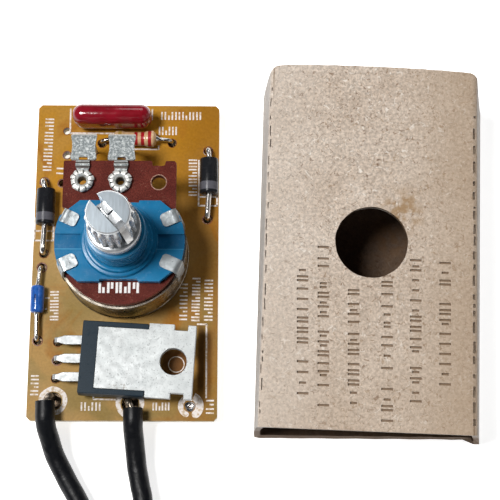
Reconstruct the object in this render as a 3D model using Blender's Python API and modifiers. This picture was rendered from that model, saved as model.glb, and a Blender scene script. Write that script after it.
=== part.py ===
"""Rotary lamp-dimmer module lying beside its folded fibreboard sleeve.

Metres, +Z up, bench at z = 0. The origin is on the bench under the middle of the module and
the sleeve together. +Y runs along the board, from the wire end to the capacitor end.
Positions on the board are given from the board's centre.
"""
from math import atan2, cos, hypot, pi, radians, sin, sqrt

import bmesh
import bpy
from mathutils import Vector

MM = 0.001

# ---- driving dimensions, in millimetres ---------------------------------------------------
BOARD_CENTRE = (-19.0755, 0.6611)
BOARD_SIZE = (26.2, 45.6, 1.6)
BOARD_CORNER = 0.5
SOLDER_DEPTH = 1.5
BOARD_TOP = SOLDER_DEPTH + BOARD_SIZE[2]
PIN_HOLE = 0.6
WIRE_HOLE = 1.2

AXIAL_WIRE = 0.38
FINE_WIRE = 0.28
WIRE_BEND = 0.7

POT_CENTRE = (0.0, 0.3)
CAN_RADIUS = 8.85
CAN_WALL = 0.35
CAN_TOP = 7.35
TAB_ANGLES = (24.5, 155.5, 204.5, 335.5)
TAB_WIDTH = 2.1
PLATE_LOW, PLATE_TOP = 7.4, 8.6
HOUSING_LOW, HOUSING_TOP = 8.65, 9.9
BUSHING_RADIUS, BUSHING_TOP = 3.95, 16.2
BORE_RADIUS, JOURNAL_RADIUS = 3.12, 3.0
COLLAR_RADIUS, COLLAR_LOW, COLLAR_TOP = 3.47, 16.4, 18.1
SHAFT_TOP = 24.9
KNURL_RADIUS, KNURL_ROOT, KNURL_TEETH = 3.06, 2.74, 18
SLOT_WIDTH, SLOT_FLOOR, SLOT_ANGLE = 1.2, 18.7, -46.8
EYELETS = ((-5.34, 8.54), (-0.17, 8.50))
EMPTY_HOLE = (5.05, 8.46)

TRIAC_CENTRE = (2.24, -14.91)
TRIAC_ANGLE = -3.25
TRIAC_LENGTH, TRIAC_WIDTH, TRIAC_TOP = 15.6, 10.16, 4.5
TRIAC_PITCH = 2.54
TRIAC_PINS = ((-9.15, -11.9), (-9.15, -14.45), (-9.25, -17.0))

LEAD_RADIUS = 1.35
LEAD_PADS = ((-9.5, -20.1), (1.1, -20.45))
SPARE_PAD = (9.23, -21.0)
COIL_CENTRE = (19.8, -54.0)
COIL_RADII = (11.9, 17.6)
COIL_LAYERS = ((0.55, 3.25), (3.55, 6.25))

SLEEVE_CENTRE = (33.2, -0.6)
SLEEVE_ANGLE = -2.15
SLEEVE_LENGTH, SLEEVE_HEIGHT, SLEEVE_WALL = 48.9, 15.2, 0.8
SLEEVE_TOP_SPAN = (-13.9, 14.3)
SLEEVE_FOOT_SPAN = (-13.7, 17.3)
SLEEVE_CORNER = 0.9
SLEEVE_HOLE = (0.28, 0.33)
SLEEVE_HOLE_RADIUS = 4.81

# ---- scene and small helpers --------------------------------------------------------------


def clear_scene():
    for obj in list(bpy.data.objects):
        bpy.data.objects.remove(obj, do_unlink=True)


def new_collection(name):
    collection = bpy.data.collections.new(name)
    bpy.context.scene.collection.children.link(collection)
    return collection


clear_scene()
PARTS = new_collection("dimmer_module")
CUTTERS = new_collection("cutters")


def material(name, color, roughness, metallic=0.0):
    found = bpy.data.materials.get(name)
    if found:
        return found
    made = bpy.data.materials.new(name)
    made.use_nodes = True
    shader = made.node_tree.nodes["Principled BSDF"]
    shader.inputs["Base Color"].default_value = (*color, 1.0)
    shader.inputs["Roughness"].default_value = roughness
    shader.inputs["Metallic"].default_value = metallic
    made.diffuse_color = (*color, 1.0)
    return made


def empty(name, xy, z=0.0, turn=0.0, parent=None):
    frame = bpy.data.objects.new(name, None)
    PARTS.objects.link(frame)
    frame.parent = parent
    frame.location = (xy[0] * MM, xy[1] * MM, z * MM)
    frame.rotation_euler = (0.0, 0.0, radians(turn))
    return frame


def place(obj, parent, xyz=(0.0, 0.0, 0.0), turn=(0.0, 0.0, 0.0)):
    obj.parent = parent
    obj.location = Vector(xyz) * MM
    obj.rotation_euler = [radians(a) for a in turn]
    return obj


def mesh_object(name, bm, mat):
    mesh = bpy.data.meshes.new(name)
    bmesh.ops.recalc_face_normals(bm, faces=bm.faces)
    bm.to_mesh(mesh)
    bm.free()
    obj = bpy.data.objects.new(name, mesh)
    PARTS.objects.link(obj)
    if mat:
        mesh.materials.append(mat)
    return obj


def box(name, low, high, mat=None):
    bm = bmesh.new()
    bmesh.ops.create_cube(bm, size=1.0)
    size = [(h - l) * MM for l, h in zip(low, high)]
    middle = [(h + l) * 0.5 * MM for l, h in zip(low, high)]
    bmesh.ops.scale(bm, vec=size, verts=bm.verts)
    bmesh.ops.translate(bm, vec=middle, verts=bm.verts)
    return mesh_object(name, bm, mat)


def cone(name, xy, low, high, foot_radius, top_radius, sides=12, mat=None):
    bm = bmesh.new()
    bmesh.ops.create_cone(bm, cap_ends=True, segments=sides, radius1=foot_radius * MM,
                          radius2=top_radius * MM, depth=(high - low) * MM)
    bmesh.ops.translate(bm, vec=(xy[0] * MM, xy[1] * MM, (low + high) * 0.5 * MM), verts=bm.verts)
    return mesh_object(name, bm, mat)


def turned(name, profile, mat, steps=32, closed=False):
    """Profile points are (radius, height); they run down the outer side."""
    bm = bmesh.new()
    points = [bm.verts.new((r * MM, 0.0, z * MM)) for r, z in profile]
    pairs = list(zip(points, points[1:]))
    if closed:
        pairs.append((points[-1], points[0]))
    for a, b in pairs:
        bm.edges.new((a, b))
    mesh = bpy.data.meshes.new(name)
    bm.to_mesh(mesh)
    bm.free()
    obj = bpy.data.objects.new(name, mesh)
    PARTS.objects.link(obj)
    if mat:
        mesh.materials.append(mat)
    screw = obj.modifiers.new("turn", "SCREW")
    screw.steps = screw.render_steps = steps
    screw.use_merge_vertices = True
    screw.merge_threshold = 0.00001
    screw.use_smooth_shade = True
    return obj


def settle(curve_object):
    """Turn a curve into a welded mesh object that can be cut and joined."""
    bpy.context.view_layer.update()
    depsgraph = bpy.context.evaluated_depsgraph_get()
    mesh = bpy.data.meshes.new_from_object(curve_object.evaluated_get(depsgraph))
    bm = bmesh.new()
    bm.from_mesh(mesh)
    bmesh.ops.remove_doubles(bm, verts=bm.verts, dist=0.000001)
    bmesh.ops.recalc_face_normals(bm, faces=bm.faces)
    bm.to_mesh(mesh)
    bm.free()
    name = curve_object.name
    bpy.data.objects.remove(curve_object, do_unlink=True)
    obj = bpy.data.objects.new(name, mesh)
    PARTS.objects.link(obj)
    return obj


def flat(name, outlines, low, high, mat=None):
    """A flat plate: the first outline is its edge, the others are its holes."""
    curve = bpy.data.curves.new(name, "CURVE")
    curve.dimensions = "2D"
    curve.fill_mode = "BOTH"
    curve.extrude = (high - low) * 0.5 * MM
    for outline in outlines:
        spline = curve.splines.new("POLY")
        spline.points.add(len(outline) - 1)
        for point, (x, y) in zip(spline.points, outline):
            point.co = (x * MM, y * MM, 0.0, 1.0)
        spline.use_cyclic_u = True
    if mat:
        curve.materials.append(mat)
    drawn = bpy.data.objects.new(name, curve)
    PARTS.objects.link(drawn)
    obj = settle(drawn)
    middle = (low + high) * 0.5 * MM
    for vertex in obj.data.vertices:
        vertex.co.z += middle
    return obj


def tube(name, path, radius, mat):
    """A round wire through every point of the path, with closed ends."""
    curve = bpy.data.curves.new(name, "CURVE")
    curve.dimensions = "3D"
    curve.bevel_depth = radius * MM
    curve.bevel_resolution = 2
    curve.use_fill_caps = True
    spline = curve.splines.new("POLY")
    spline.points.add(len(path) - 1)
    for point, place_at in zip(spline.points, path):
        point.co = (*(Vector(place_at) * MM), 1.0)
    curve.materials.append(mat)
    obj = bpy.data.objects.new(name, curve)
    PARTS.objects.link(obj)
    return obj


def hide_operand(obj):
    PARTS.objects.unlink(obj)
    CUTTERS.objects.link(obj)
    obj.hide_render = True
    obj.display_type = "WIRE"


def boolean(obj, other, operation):
    step = obj.modifiers.new(operation.lower(), "BOOLEAN")
    step.operation = operation
    step.object = other
    step.solver = "EXACT"
    hide_operand(other)


def cut(obj, cutter, parent):
    boolean(obj, place(cutter, parent), "DIFFERENCE")


def fuse(obj, addition, parent):
    boolean(obj, place(addition, parent), "UNION")


def arc(centre, radius, start, end, count):
    """Points along an arc, from the start angle to the end angle in degrees."""
    turns = [radians(start + (end - start) * i / (count - 1)) for i in range(count)]
    return [(centre[0] + radius * cos(t), centre[1] + radius * sin(t)) for t in turns]


def circle(centre, radius, sides=14):
    turns = [2.0 * pi * i / sides for i in range(sides)]
    return [(centre[0] + radius * cos(t), centre[1] + radius * sin(t)) for t in turns]


def rectangle(x0, x1, y0, y1):
    return [(x0, y0), (x1, y0), (x1, y1), (x0, y1)]


def bent(points, bend=WIRE_BEND, count=4):
    """A path through straight runs with rounded corners."""
    path = [Vector(points[0])]
    for before, corner, after in zip(points, points[1:], points[2:]):
        corner = Vector(corner)
        to_before = Vector(before) - corner
        to_after = Vector(after) - corner
        reach = min(bend, 0.45 * to_before.length, 0.45 * to_after.length)
        a = corner + to_before.normalized() * reach
        b = corner + to_after.normalized() * reach
        for i in range(count + 1):
            t = i / count
            path.append(a * (1 - t) ** 2 + corner * 2 * t * (1 - t) + b * t * t)
    path.append(Vector(points[-1]))
    return path


def through(points, per_span=2):
    """A smooth curve (Catmull-Rom) through the given points."""
    ends = [Vector(p) for p in points]
    ends = [ends[0] * 2 - ends[1]] + ends + [ends[-1] * 2 - ends[-2]]
    path = []
    for p0, p1, p2, p3 in zip(ends, ends[1:], ends[2:], ends[3:]):
        for i in range(per_span):
            t = i / per_span
            path.append(0.5 * (2 * p1 + (p2 - p0) * t + (2 * p0 - 5 * p1 + 4 * p2 - p3) * t ** 2
                               + (3 * p1 - p0 - 3 * p2 + p3) * t ** 3))
    path.append(ends[-2])
    return path


def smooth(obj, angle=40.0):
    obj.data.shade_smooth()
    obj.data.set_sharp_from_angle(angle=radians(angle))
    return obj


# ---- circuit board, copper and solder -----------------------------------------------------

RESISTOR_PINS = ((-3.82, 17.05), (6.28, 17.14))
CAPACITOR_PINS = ((-5.88, 20.12), (1.62, 20.12))
LEFT_DIODE_PINS = ((-11.88, 11.19), (-11.57, 0.70))
RIGHT_DIODE_PINS = ((11.49, 15.96), (11.48, 5.83))
DIAC_PINS = ((-11.78, -1.32), (-11.97, -11.72))
LUG_PINS = tuple((x + POT_CENTRE[0], 15.28 + POT_CENTRE[1]) for x, _ in EYELETS)
SPARE_HOLES = ((-8.93, 18.87), (-8.80, 15.24), (-4.06, 13.6), (-9.37, 11.05))
LUG_HOLE = 0.8
SPARE_HOLE = 0.5


def board_outline():
    x, y, c = BOARD_SIZE[0] / 2, BOARD_SIZE[1] / 2, BOARD_CORNER
    return [(x, c - y), (x, y - c), (x - c, y), (c - x, y), (-x, y - c), (-x, c - y),
            (c - x, -y), (x - c, -y)]


def make_board(frame):
    pins = (*RESISTOR_PINS, *CAPACITOR_PINS, *LEFT_DIODE_PINS, *RIGHT_DIODE_PINS, *DIAC_PINS,
            *TRIAC_PINS)
    holes = [circle(p, PIN_HOLE, 10) for p in pins]
    holes += [circle(p, LUG_HOLE, 10) for p in LUG_PINS]
    holes += [circle(p, SPARE_HOLE, 10) for p in SPARE_HOLES]
    holes += [circle(p, WIRE_HOLE, 16) for p in (*LEAD_PADS, SPARE_PAD)]
    laminate = material("paper_laminate", (0.55, 0.36, 0.10), 0.45)
    board = flat("circuit_board", [board_outline(), *holes], SOLDER_DEPTH, BOARD_TOP, laminate)
    place(board, frame)


FOIL = 0.14
FOIL_GAP = 0.03


def make_track(frame, name, outline, pins, foot=0.9):
    """Copper foil under the board with a solder cone at each pin, fused as soldering does."""
    tinned = material("tinned_copper", (0.72, 0.70, 0.66), 0.35, 1.0)
    high = SOLDER_DEPTH - FOIL_GAP
    track = flat(name, [outline], high - FOIL, high, tinned)
    place(track, frame)
    for number, pin in enumerate(pins):
        fillet = cone(f"{name}_solder_{number}", pin, 0.0, high - 0.5 * FOIL, 0.4 * foot, foot, 10)
        fuse(track, fillet, frame)


def make_tracks(frame):
    make_track(frame, "track_line", rectangle(-11.4, -7.6, -22.0, -16.0),
               [LEAD_PADS[0], TRIAC_PINS[2]], 0.92)
    load = [(-10.4, -15.4), (-1.0, -15.4), (-1.0, -22.2), (12.4, -22.2), (12.4, 7.2), (10.5, 7.2),
            (10.5, -18.5), (2.9, -18.5), (2.9, -13.5), (-10.4, -13.5)]
    make_track(frame, "track_load", load, [LEAD_PADS[1], TRIAC_PINS[1], RIGHT_DIODE_PINS[1]])
    make_track(frame, "track_gate", rectangle(-12.7, -8.1, -12.85, -10.8),
               [TRIAC_PINS[0], DIAC_PINS[1]])
    timing = [(-12.7, -2.3), (-6.6, -2.3), (-6.6, 14.4), (-4.3, 14.4), (-4.3, 16.0), (-5.0, 16.6),
              (-5.0, 21.3), (-7.0, 21.3), (-7.0, 16.4), (-8.0, 16.4), (-8.0, 1.8), (-12.7, 1.8)]
    make_track(frame, "track_timing", timing,
               [DIAC_PINS[0], LEFT_DIODE_PINS[1], LUG_PINS[0], CAPACITOR_PINS[0]], 0.78)
    divider = [(-4.62, 16.75), (-1.1, 16.2), (-1.1, 14.6), (0.9, 14.6), (0.9, 18.1), (-4.62, 18.1)]
    make_track(frame, "track_divider", divider, [RESISTOR_PINS[0], LUG_PINS[1]], 0.7)
    make_track(frame, "track_bridge", rectangle(-12.7, -8.6, 10.1, 12.3), [LEFT_DIODE_PINS[0]])
    snubber = [(0.6, 19.1), (5.2, 19.1), (5.2, 16.1), (7.3, 15.0), (12.4, 15.0), (12.4, 17.0),
               (7.3, 18.3), (7.3, 21.2), (0.6, 21.2)]
    make_track(frame, "track_snubber", snubber,
               [CAPACITOR_PINS[1], RESISTOR_PINS[1], RIGHT_DIODE_PINS[0]])


# ---- two-legged parts on the board --------------------------------------------------------

PIN_END = SOLDER_DEPTH + 0.12
LEAD_START = 0.12


def make_leg(frame, name, start, pin, radius, mat):
    """A wire from the end of a body, level to above its hole and down through the board."""
    path = bent([start, (pin[0], pin[1], start[2]), (pin[0], pin[1], PIN_END)])
    place(tube(name, path, radius, mat), frame)


def make_axial(frame, name, centre, length, radius, pins, wire, mat, waist=0.0, along="Y"):
    """A turned body lying on the board with a bent leg at each end."""
    half = length / 2
    soft = min(0.35, 0.4 * radius)
    profile = [(0.0, half), (radius - soft, half), (radius, half - soft)]
    if waist:
        profile += [(radius, half - 1.3), (radius - waist, half - 1.7),
                    (radius - waist, 1.7 - half), (radius, 1.3 - half)]
    profile += [(radius, soft - half), (radius - soft, -half), (0.0, -half)]
    body = turned(f"{name}_body", profile, mat, 20)
    turn = (-90.0, 0.0, 0.0) if along == "Y" else (0.0, 90.0, 0.0)
    place(body, frame, centre, turn)
    step = (0.0, 1.0) if along == "Y" else (1.0, 0.0)
    tin = material("tinned_wire", (0.78, 0.77, 0.75), 0.3, 1.0)
    for side, pin in zip((1, -1), pins):
        reach = side * (half + LEAD_START)
        start = (centre[0] + step[0] * reach, centre[1] + step[1] * reach, centre[2])
        end_name = {("Y", 1): "upper", ("Y", -1): "lower", ("X", 1): "right", ("X", -1): "left"}
        make_leg(frame, f"{name}_leg_{end_name[along, side]}", start, pin, wire, tin)


def make_board_parts(frame):
    black = material("black_epoxy", (0.02, 0.02, 0.025), 0.35)
    blue = material("blue_glass", (0.05, 0.22, 0.60), 0.15)
    beige = material("resistor_lacquer", (0.72, 0.52, 0.36), 0.35)
    make_axial(frame, "resistor", (1.05, 17.35, BOARD_TOP + 1.22), 6.3, 1.15,
               RESISTOR_PINS[::-1], FINE_WIRE, beige, waist=0.15, along="X")
    make_axial(frame, "diode_left", (-11.36, 7.17, BOARD_TOP + 1.36), 5.2, 1.3,
               LEFT_DIODE_PINS, AXIAL_WIRE, black)
    make_axial(frame, "diode_right", (11.71, 11.78, BOARD_TOP + 1.36), 5.2, 1.3,
               RIGHT_DIODE_PINS, AXIAL_WIRE, black)
    make_axial(frame, "diac", (-12.05, -6.07, BOARD_TOP + 1.02), 3.85, 0.95,
               DIAC_PINS, FINE_WIRE, blue)


CAPACITOR_SIZE = (11.2, 3.0, 4.6)
CAPACITOR_CENTRE = (-2.13, 20.12)
CAPACITOR_LIFT = 0.6


def make_capacitor(frame):
    """A dipped film capacitor standing on its two wires."""
    length, width, height = CAPACITOR_SIZE
    red = material("dipped_epoxy", (0.35, 0.02, 0.05), 0.12)
    body = box("capacitor_body", (-length / 2, -width / 2, 0.0), (length / 2, width / 2, height), red)
    place(body, frame, (*CAPACITOR_CENTRE, BOARD_TOP + CAPACITOR_LIFT))
    rounding = body.modifiers.new("dip", "BEVEL")
    rounding.width = 1.42 * MM
    rounding.segments = 4
    tin = material("tinned_wire", (0.78, 0.77, 0.75), 0.3, 1.0)
    for side, pin in zip(("left", "right"), CAPACITOR_PINS):
        path = [(*pin, BOARD_TOP + CAPACITOR_LIFT - LEAD_START), (*pin, 2.6), (*pin, PIN_END)]
        place(tube(f"capacitor_leg_{side}", path, FINE_WIRE, tin), frame)


# ---- triac --------------------------------------------------------------------------------

CASE_LENGTH = 9.1
TAB_THICKNESS = 1.3
WINDOW_START = 2.25
WINDOW_HALF = 4.2
TAB_HOLE = 1.81
TAB_HOLE_FROM_END = 2.83


def make_triac(board_frame):
    """A three-legged power case lying on its face, so that its metal tab is on top."""
    frame = empty("triac_frame", TRIAC_CENTRE, BOARD_TOP, TRIAC_ANGLE, board_frame)
    west, east = -TRIAC_LENGTH / 2, TRIAC_LENGTH / 2
    half = TRIAC_WIDTH / 2
    tab_low = TRIAC_TOP - TAB_THICKNESS
    case_end = west + CASE_LENGTH
    black = material("black_epoxy", (0.02, 0.02, 0.025), 0.35)
    case = box("triac_case", (west, -half, 0.12), (case_end, half, TRIAC_TOP - 0.05), black)
    place(case, frame)
    window = box("triac_window", (west + WINDOW_START, -WINDOW_HALF - 0.06, tab_low - 0.06),
                 (east, WINDOW_HALF + 0.06, TRIAC_TOP + 1.0))
    cut(case, window, frame)
    inner, step = west + WINDOW_START + 0.06, case_end + 0.1
    notch, deep = (east - 2.95, east - 1.15), half - 0.8
    edge = half - 0.04
    outline = [(inner, -WINDOW_HALF), (step, -WINDOW_HALF), (step, -edge), (notch[0], -edge),
               (notch[0], -deep), (notch[1], -deep), (notch[1], -edge), (east, -edge),
               (east, edge), (notch[1], edge), (notch[1], deep), (notch[0], deep),
               (notch[0], edge), (step, edge), (step, WINDOW_HALF), (inner, WINDOW_HALF)]
    plated = material("plated_copper", (0.80, 0.80, 0.79), 0.28, 1.0)
    hole = circle((east - TAB_HOLE_FROM_END, 0.0), TAB_HOLE, 24)
    place(flat("triac_tab", [outline, hole], tab_low, TRIAC_TOP, plated), frame)
    make_triac_legs(board_frame)


def make_triac_legs(board_frame):
    """Each leg leaves the case wide, narrows, and turns down into its hole."""
    tin = material("tinned_wire", (0.78, 0.77, 0.75), 0.3, 1.0)
    turn = radians(TRIAC_ANGLE)
    level = BOARD_TOP + 2.0
    names = ("triac_leg_gate", "triac_leg_two", "triac_leg_one")
    for name, row, pin in zip(names, (1, 0, -1), TRIAC_PINS):
        near = (-TRIAC_LENGTH / 2 - 0.1, row * TRIAC_PITCH)
        x = TRIAC_CENTRE[0] + near[0] * cos(turn) - near[1] * sin(turn)
        y = TRIAC_CENTRE[1] + near[0] * sin(turn) + near[1] * cos(turn)
        shoulder = pin[0] + 0.95
        outline = [(x, y - 0.62), (x, y + 0.62), (shoulder, y + 0.62), (shoulder - 0.75, y + 0.36),
                   (pin[0] - 0.24, y + 0.36), (pin[0] - 0.24, y - 0.36),
                   (shoulder - 0.75, y - 0.36), (shoulder, y - 0.62)]
        leg = flat(name, [outline], level - 0.25, level + 0.25, tin)
        place(leg, board_frame)
        low = box(f"{name}_post", (pin[0] - 0.24, pin[1] - 0.36, PIN_END),
                  (pin[0] + 0.24, pin[1] + 0.36, level + 0.2))
        fuse(leg, low, board_frame)


# ---- potentiometer ------------------------------------------------------------------------


def make_can(frame):
    """The steel can, open at the top, with four tabs folded over the housing."""
    steel = material("pressed_steel", (0.50, 0.50, 0.46), 0.35, 1.0)
    inner, outer = CAN_RADIUS - CAN_WALL, CAN_RADIUS
    profile = [(0.0, 0.45), (inner - 0.3, 0.45), (inner, 0.75), (inner, CAN_TOP),
               (outer, CAN_TOP), (outer, 0.75), (outer + 0.1, 0.6), (outer + 0.1, 0.3),
               (outer - 0.2, 0.1), (0.0, 0.1)]
    can = turned("pot_can", profile, steel, 48)
    place(can, frame)
    cut(can, box("can_window", (-7.1, 6.2, 5.9), (6.6, 12.0, 9.0)), frame)
    half = TAB_WIDTH / 2
    tongue_outline = arc((6.95, 0.0), half, 90, 270, 11) + [(9.03, -half), (9.03, half)]
    for number, angle in enumerate(TAB_ANGLES):
        holder = empty(f"tab_frame_{number}", (0.0, 0.0), 0.0, angle, frame)
        inside = half - 0.03
        fuse(can, box(f"tab_post_{number}", (8.72, -inside, 4.5), (9.0, inside, 10.1)), holder)
        fuse(can, flat(f"tab_tongue_{number}", [tongue_outline], 9.95, 10.25), holder)
    stop = box("can_stop", (-1.2, -8.6, 5.2), (1.2, -7.0, 6.9))
    fuse(can, stop, frame)


def plate_outline():
    """A disc with a square terminal shelf, notched where the third lug would be."""
    radius, left, right, top = 8.48, -7.97, 7.4, 11.5
    start = 90.0 - 57.3 * atan2(right, sqrt(radius ** 2 - right ** 2))
    end = -270.0 + 57.3 * atan2(-left, sqrt(radius ** 2 - left ** 2))
    shelf = [(left, top), (4.0, top), (4.0, top - 0.7), (5.97, top - 0.7), (5.97, top),
             (right - 0.3, top), (right, top - 0.3)]
    return shelf + arc((0.0, 0.0), radius, start, end, 40)


def make_element_plate(frame):
    phenolic = material("phenolic", (0.25, 0.06, 0.04), 0.5)
    holes = [circle(p, 1.0, 14) for p in (*EYELETS, EMPTY_HOLE)]
    holes.append(circle((0.0, 0.0), 4.2, 28))
    plate = flat("pot_element_plate", [plate_outline(), *holes], PLATE_LOW, PLATE_TOP, phenolic)
    place(plate, frame)
    for number, angle in enumerate(TAB_ANGLES):
        holder = empty(f"notch_frame_{number}", (0.0, 0.0), 0.0, angle, frame)
        half = TAB_WIDTH / 2 + 0.25
        cut(plate, box(f"plate_notch_{number}", (8.5, -half, 7.0), (12.0, half, 9.0)), holder)
    carbon = material("carbon_film", (0.02, 0.02, 0.02), 0.6)
    track = arc((0, 0), 7.0, -240, 60, 36) + arc((0, 0), 5.7, 60, -240, 32)
    place(flat("pot_carbon_track", [track], 7.24, 7.36, carbon), frame)
    silver = material("silver_ink", (0.7, 0.7, 0.7), 0.4, 1.0)
    ring = [circle((0.0, 0.0), 5.3, 32), circle((0.0, 0.0), 4.4, 28)]
    place(flat("pot_collector_ring", ring, 7.24, 7.36, silver), frame)


def make_terminal(frame, name, x, y):
    """A solder lug: ring under the eyelet, neck, wide pad, and a leg down to the board."""
    tin = material("tinned_brass", (0.74, 0.75, 0.75), 0.3, 1.0)
    ring = [circle((x, y), 1.5, 20), circle((x, y), 1.0, 14)]
    lug = flat(name, ring, 8.65, 9.0, tin)
    place(lug, frame)
    centre = x if x < -1 else x + 0.05
    wide = 1.78 if x < -1 else 1.9
    pad_outline = [(centre - 0.75, 11.75), (centre - 0.75, 12.2), (centre - wide, 12.5),
                   (centre - wide + 0.15, 13.6), (centre - wide, 15.1), (centre - wide, 15.45),
                   (centre + wide, 15.45), (centre + wide, 15.1), (centre + wide - 0.15, 13.6),
                   (centre + wide, 12.5), (centre + 0.75, 12.2), (centre + 0.75, 11.75)]
    slot = rectangle(centre - 0.55, centre + 0.55, 12.05, 12.43)
    neck = box(f"{name}_neck", (centre - 0.75, y + 1.15, 8.67), (centre + 0.75, 11.97, 8.98))
    step = box(f"{name}_step", (centre - 0.72, 11.7, 8.13), (centre + 0.72, 12.0, 8.95))
    pad = flat(f"{name}_pad", [pad_outline, slot], 8.1, 8.45)
    drop = box(f"{name}_drop", (x - 1.0, 15.12, 0.35), (x + 1.0, 15.43, 8.3))
    tip = box(f"{name}_tip", (x - 0.55, 15.15, PIN_END - BOARD_TOP), (x + 0.55, 15.4, 0.5))
    for piece in (neck, step, pad, drop, tip):
        fuse(lug, piece, frame)


def make_eyelet(frame, name, x, y):
    tin = material("tinned_brass", (0.74, 0.75, 0.75), 0.3, 1.0)
    profile = [(0.75, 9.45), (1.2, 9.5), (1.5, 9.3), (1.55, 9.06), (0.88, 9.04), (0.88, 7.36),
               (1.25, 7.34), (1.25, 7.05), (0.6, 7.05), (0.6, 9.2)]
    place(turned(name, profile, tin, 20, closed=True), frame, (x, y, 0.0))


def housing_outline():
    """A circle with flat north and south sides and cut corners."""
    radius, flat_half, side = 8.62, 5.55, 5.4
    swing = 23.0
    notch, deep = 2.6, 0.3
    corner = [(side, -flat_half)]
    east = arc((0.0, 0.0), radius, -swing, swing, 9)
    north = [(side, flat_half), (notch, flat_half), (notch, flat_half - deep),
             (-notch, flat_half - deep), (-notch, flat_half), (-side, flat_half)]
    west = arc((0.0, 0.0), radius, 180 - swing, 180 + swing, 9)
    south = [(-side, -flat_half), (-notch, -flat_half), (-notch, deep - flat_half),
             (notch, deep - flat_half), (notch, -flat_half)]
    return corner + east + north + west + south


def make_housing(frame):
    """Moulded front housing with a stepped boss and a bushing that carries the shaft."""
    blue = material("blue_moulding", (0.02, 0.22, 0.42), 0.35)
    housing = flat("pot_housing", [housing_outline()], HOUSING_LOW, HOUSING_TOP, blue)
    place(housing, frame)
    profile = [(0.0, BUSHING_TOP), (BUSHING_RADIUS - 0.3, BUSHING_TOP),
               (BUSHING_RADIUS, BUSHING_TOP - 0.3)]
    ridge, groove, pitch = 0.45, 0.18, 0.95
    level = BUSHING_TOP - 0.3
    while level - pitch > 11.6:
        profile += [(BUSHING_RADIUS, level - ridge), (BUSHING_RADIUS - groove, level - ridge - 0.12),
                    (BUSHING_RADIUS - groove, level - pitch + 0.12), (BUSHING_RADIUS, level - pitch)]
        level -= pitch
    profile += [(BUSHING_RADIUS, 11.2), (4.5, 11.1), (4.55, 10.5), (5.02, 10.5), (5.07, 9.7),
                (5.07, 9.3), (0.0, 9.3)]
    fuse(housing, turned("housing_boss", profile, None, 36), frame)
    for side in (-1, 1):
        low, high = sorted((side * 5.2, side * 9.5))
        cut(housing, box(f"housing_band_{side}", (low, -1.12, 9.65), (high, 0.89, 10.5)), frame)
    cut(housing, cone("housing_bore", (0, 0), 8.0, 17.0, BORE_RADIUS, BORE_RADIUS, 32), frame)


def knurl_outline():
    """Flat-topped teeth round the shaft."""
    outline = []
    for tooth in range(KNURL_TEETH):
        for share, radius in ((0.0, KNURL_ROOT), (0.22, KNURL_RADIUS), (0.58, KNURL_RADIUS),
                              (0.8, KNURL_ROOT)):
            turn = 2.0 * pi * (tooth + share) / KNURL_TEETH
            outline.append((radius * cos(turn), radius * sin(turn)))
    return outline


def make_shaft(frame):
    """Knurled split shaft with a collar, a journal, a clip groove and a rotor seat."""
    zinc = material("cast_zinc", (0.80, 0.80, 0.80), 0.38, 1.0)
    shaft = flat("pot_shaft", [knurl_outline()], COLLAR_TOP - 0.4, SHAFT_TOP, zinc)
    place(shaft, frame)
    top_edge = [(0.0, SHAFT_TOP), (2.66, SHAFT_TOP), (3.2, SHAFT_TOP - 0.5), (3.2, 17.0), (0.0, 17.0)]
    boolean(shaft, place(turned("shaft_envelope", top_edge, None, 36), frame), "INTERSECT")
    body = [(0.0, COLLAR_TOP), (COLLAR_RADIUS - 0.15, COLLAR_TOP), (COLLAR_RADIUS, COLLAR_TOP - 0.15),
            (COLLAR_RADIUS, COLLAR_LOW), (JOURNAL_RADIUS, COLLAR_LOW), (JOURNAL_RADIUS, 8.45),
            (2.3, 8.45), (2.3, 7.85), (JOURNAL_RADIUS, 7.85), (JOURNAL_RADIUS, 7.0), (2.2, 6.9),
            (2.2, 3.6), (0.0, 3.6)]
    fuse(shaft, turned("shaft_body", body, None, 32), frame)
    holder = empty("slot_frame", (0.0, 0.0), 0.0, SLOT_ANGLE, frame)
    half = SLOT_WIDTH / 2
    cut(shaft, box("shaft_slot", (-4.0, -half, SLOT_FLOOR), (4.0, half, 26.0)), holder)
    fuse(shaft, box("shaft_web", (-0.9, -half - 0.1, 18.0), (1.6, half + 0.1, SHAFT_TOP - 1.1)), holder)


def make_rotor(frame):
    """Wiper carrier on the shaft's lower end, with its stop arm, contact spring and clip."""
    nylon = material("black_nylon", (0.03, 0.03, 0.03), 0.5)
    profile = [(2.3, 6.6), (6.6, 6.6), (6.6, 5.4), (3.2, 5.4), (3.2, 4.2), (2.3, 4.2)]
    rotor = turned("pot_rotor", profile, nylon, 32, closed=True)
    place(rotor, frame)
    fuse(rotor, box("rotor_arm", (-1.0, 6.2, 5.6), (1.0, 8.1, 6.4)), frame)
    bronze = material("spring_bronze", (0.65, 0.45, 0.20), 0.3, 1.0)
    wiper = box("pot_wiper", (-0.6, -6.5, 6.68), (0.6, -3.6, 6.85), bronze)
    place(wiper, frame)
    for number, radius in enumerate((-6.1, -4.8)):
        fuse(wiper, cone(f"wiper_tip_{number}", (0, radius), 6.75, 7.18, 0.4, 0.2, 10), frame)
    gap = 50.0
    clip = (arc((0, 0), 3.85, -90 + gap, 270 - gap, 24) + arc((0, 0), 2.42, 270 - gap, -90 + gap, 20))
    place(flat("pot_shaft_clip", [clip], 7.92, 8.38, bronze), frame)


def make_potentiometer(board_frame):
    frame = empty("pot_frame", POT_CENTRE, BOARD_TOP, 0.0, board_frame)
    make_can(frame)
    make_element_plate(frame)
    for label, (x, y) in zip(("end", "wiper"), EYELETS):
        make_terminal(frame, f"pot_terminal_{label}", x, y)
        make_eyelet(frame, f"pot_eyelet_{label}", x, y)
    make_housing(frame)
    make_shaft(frame)
    make_rotor(frame)


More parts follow.
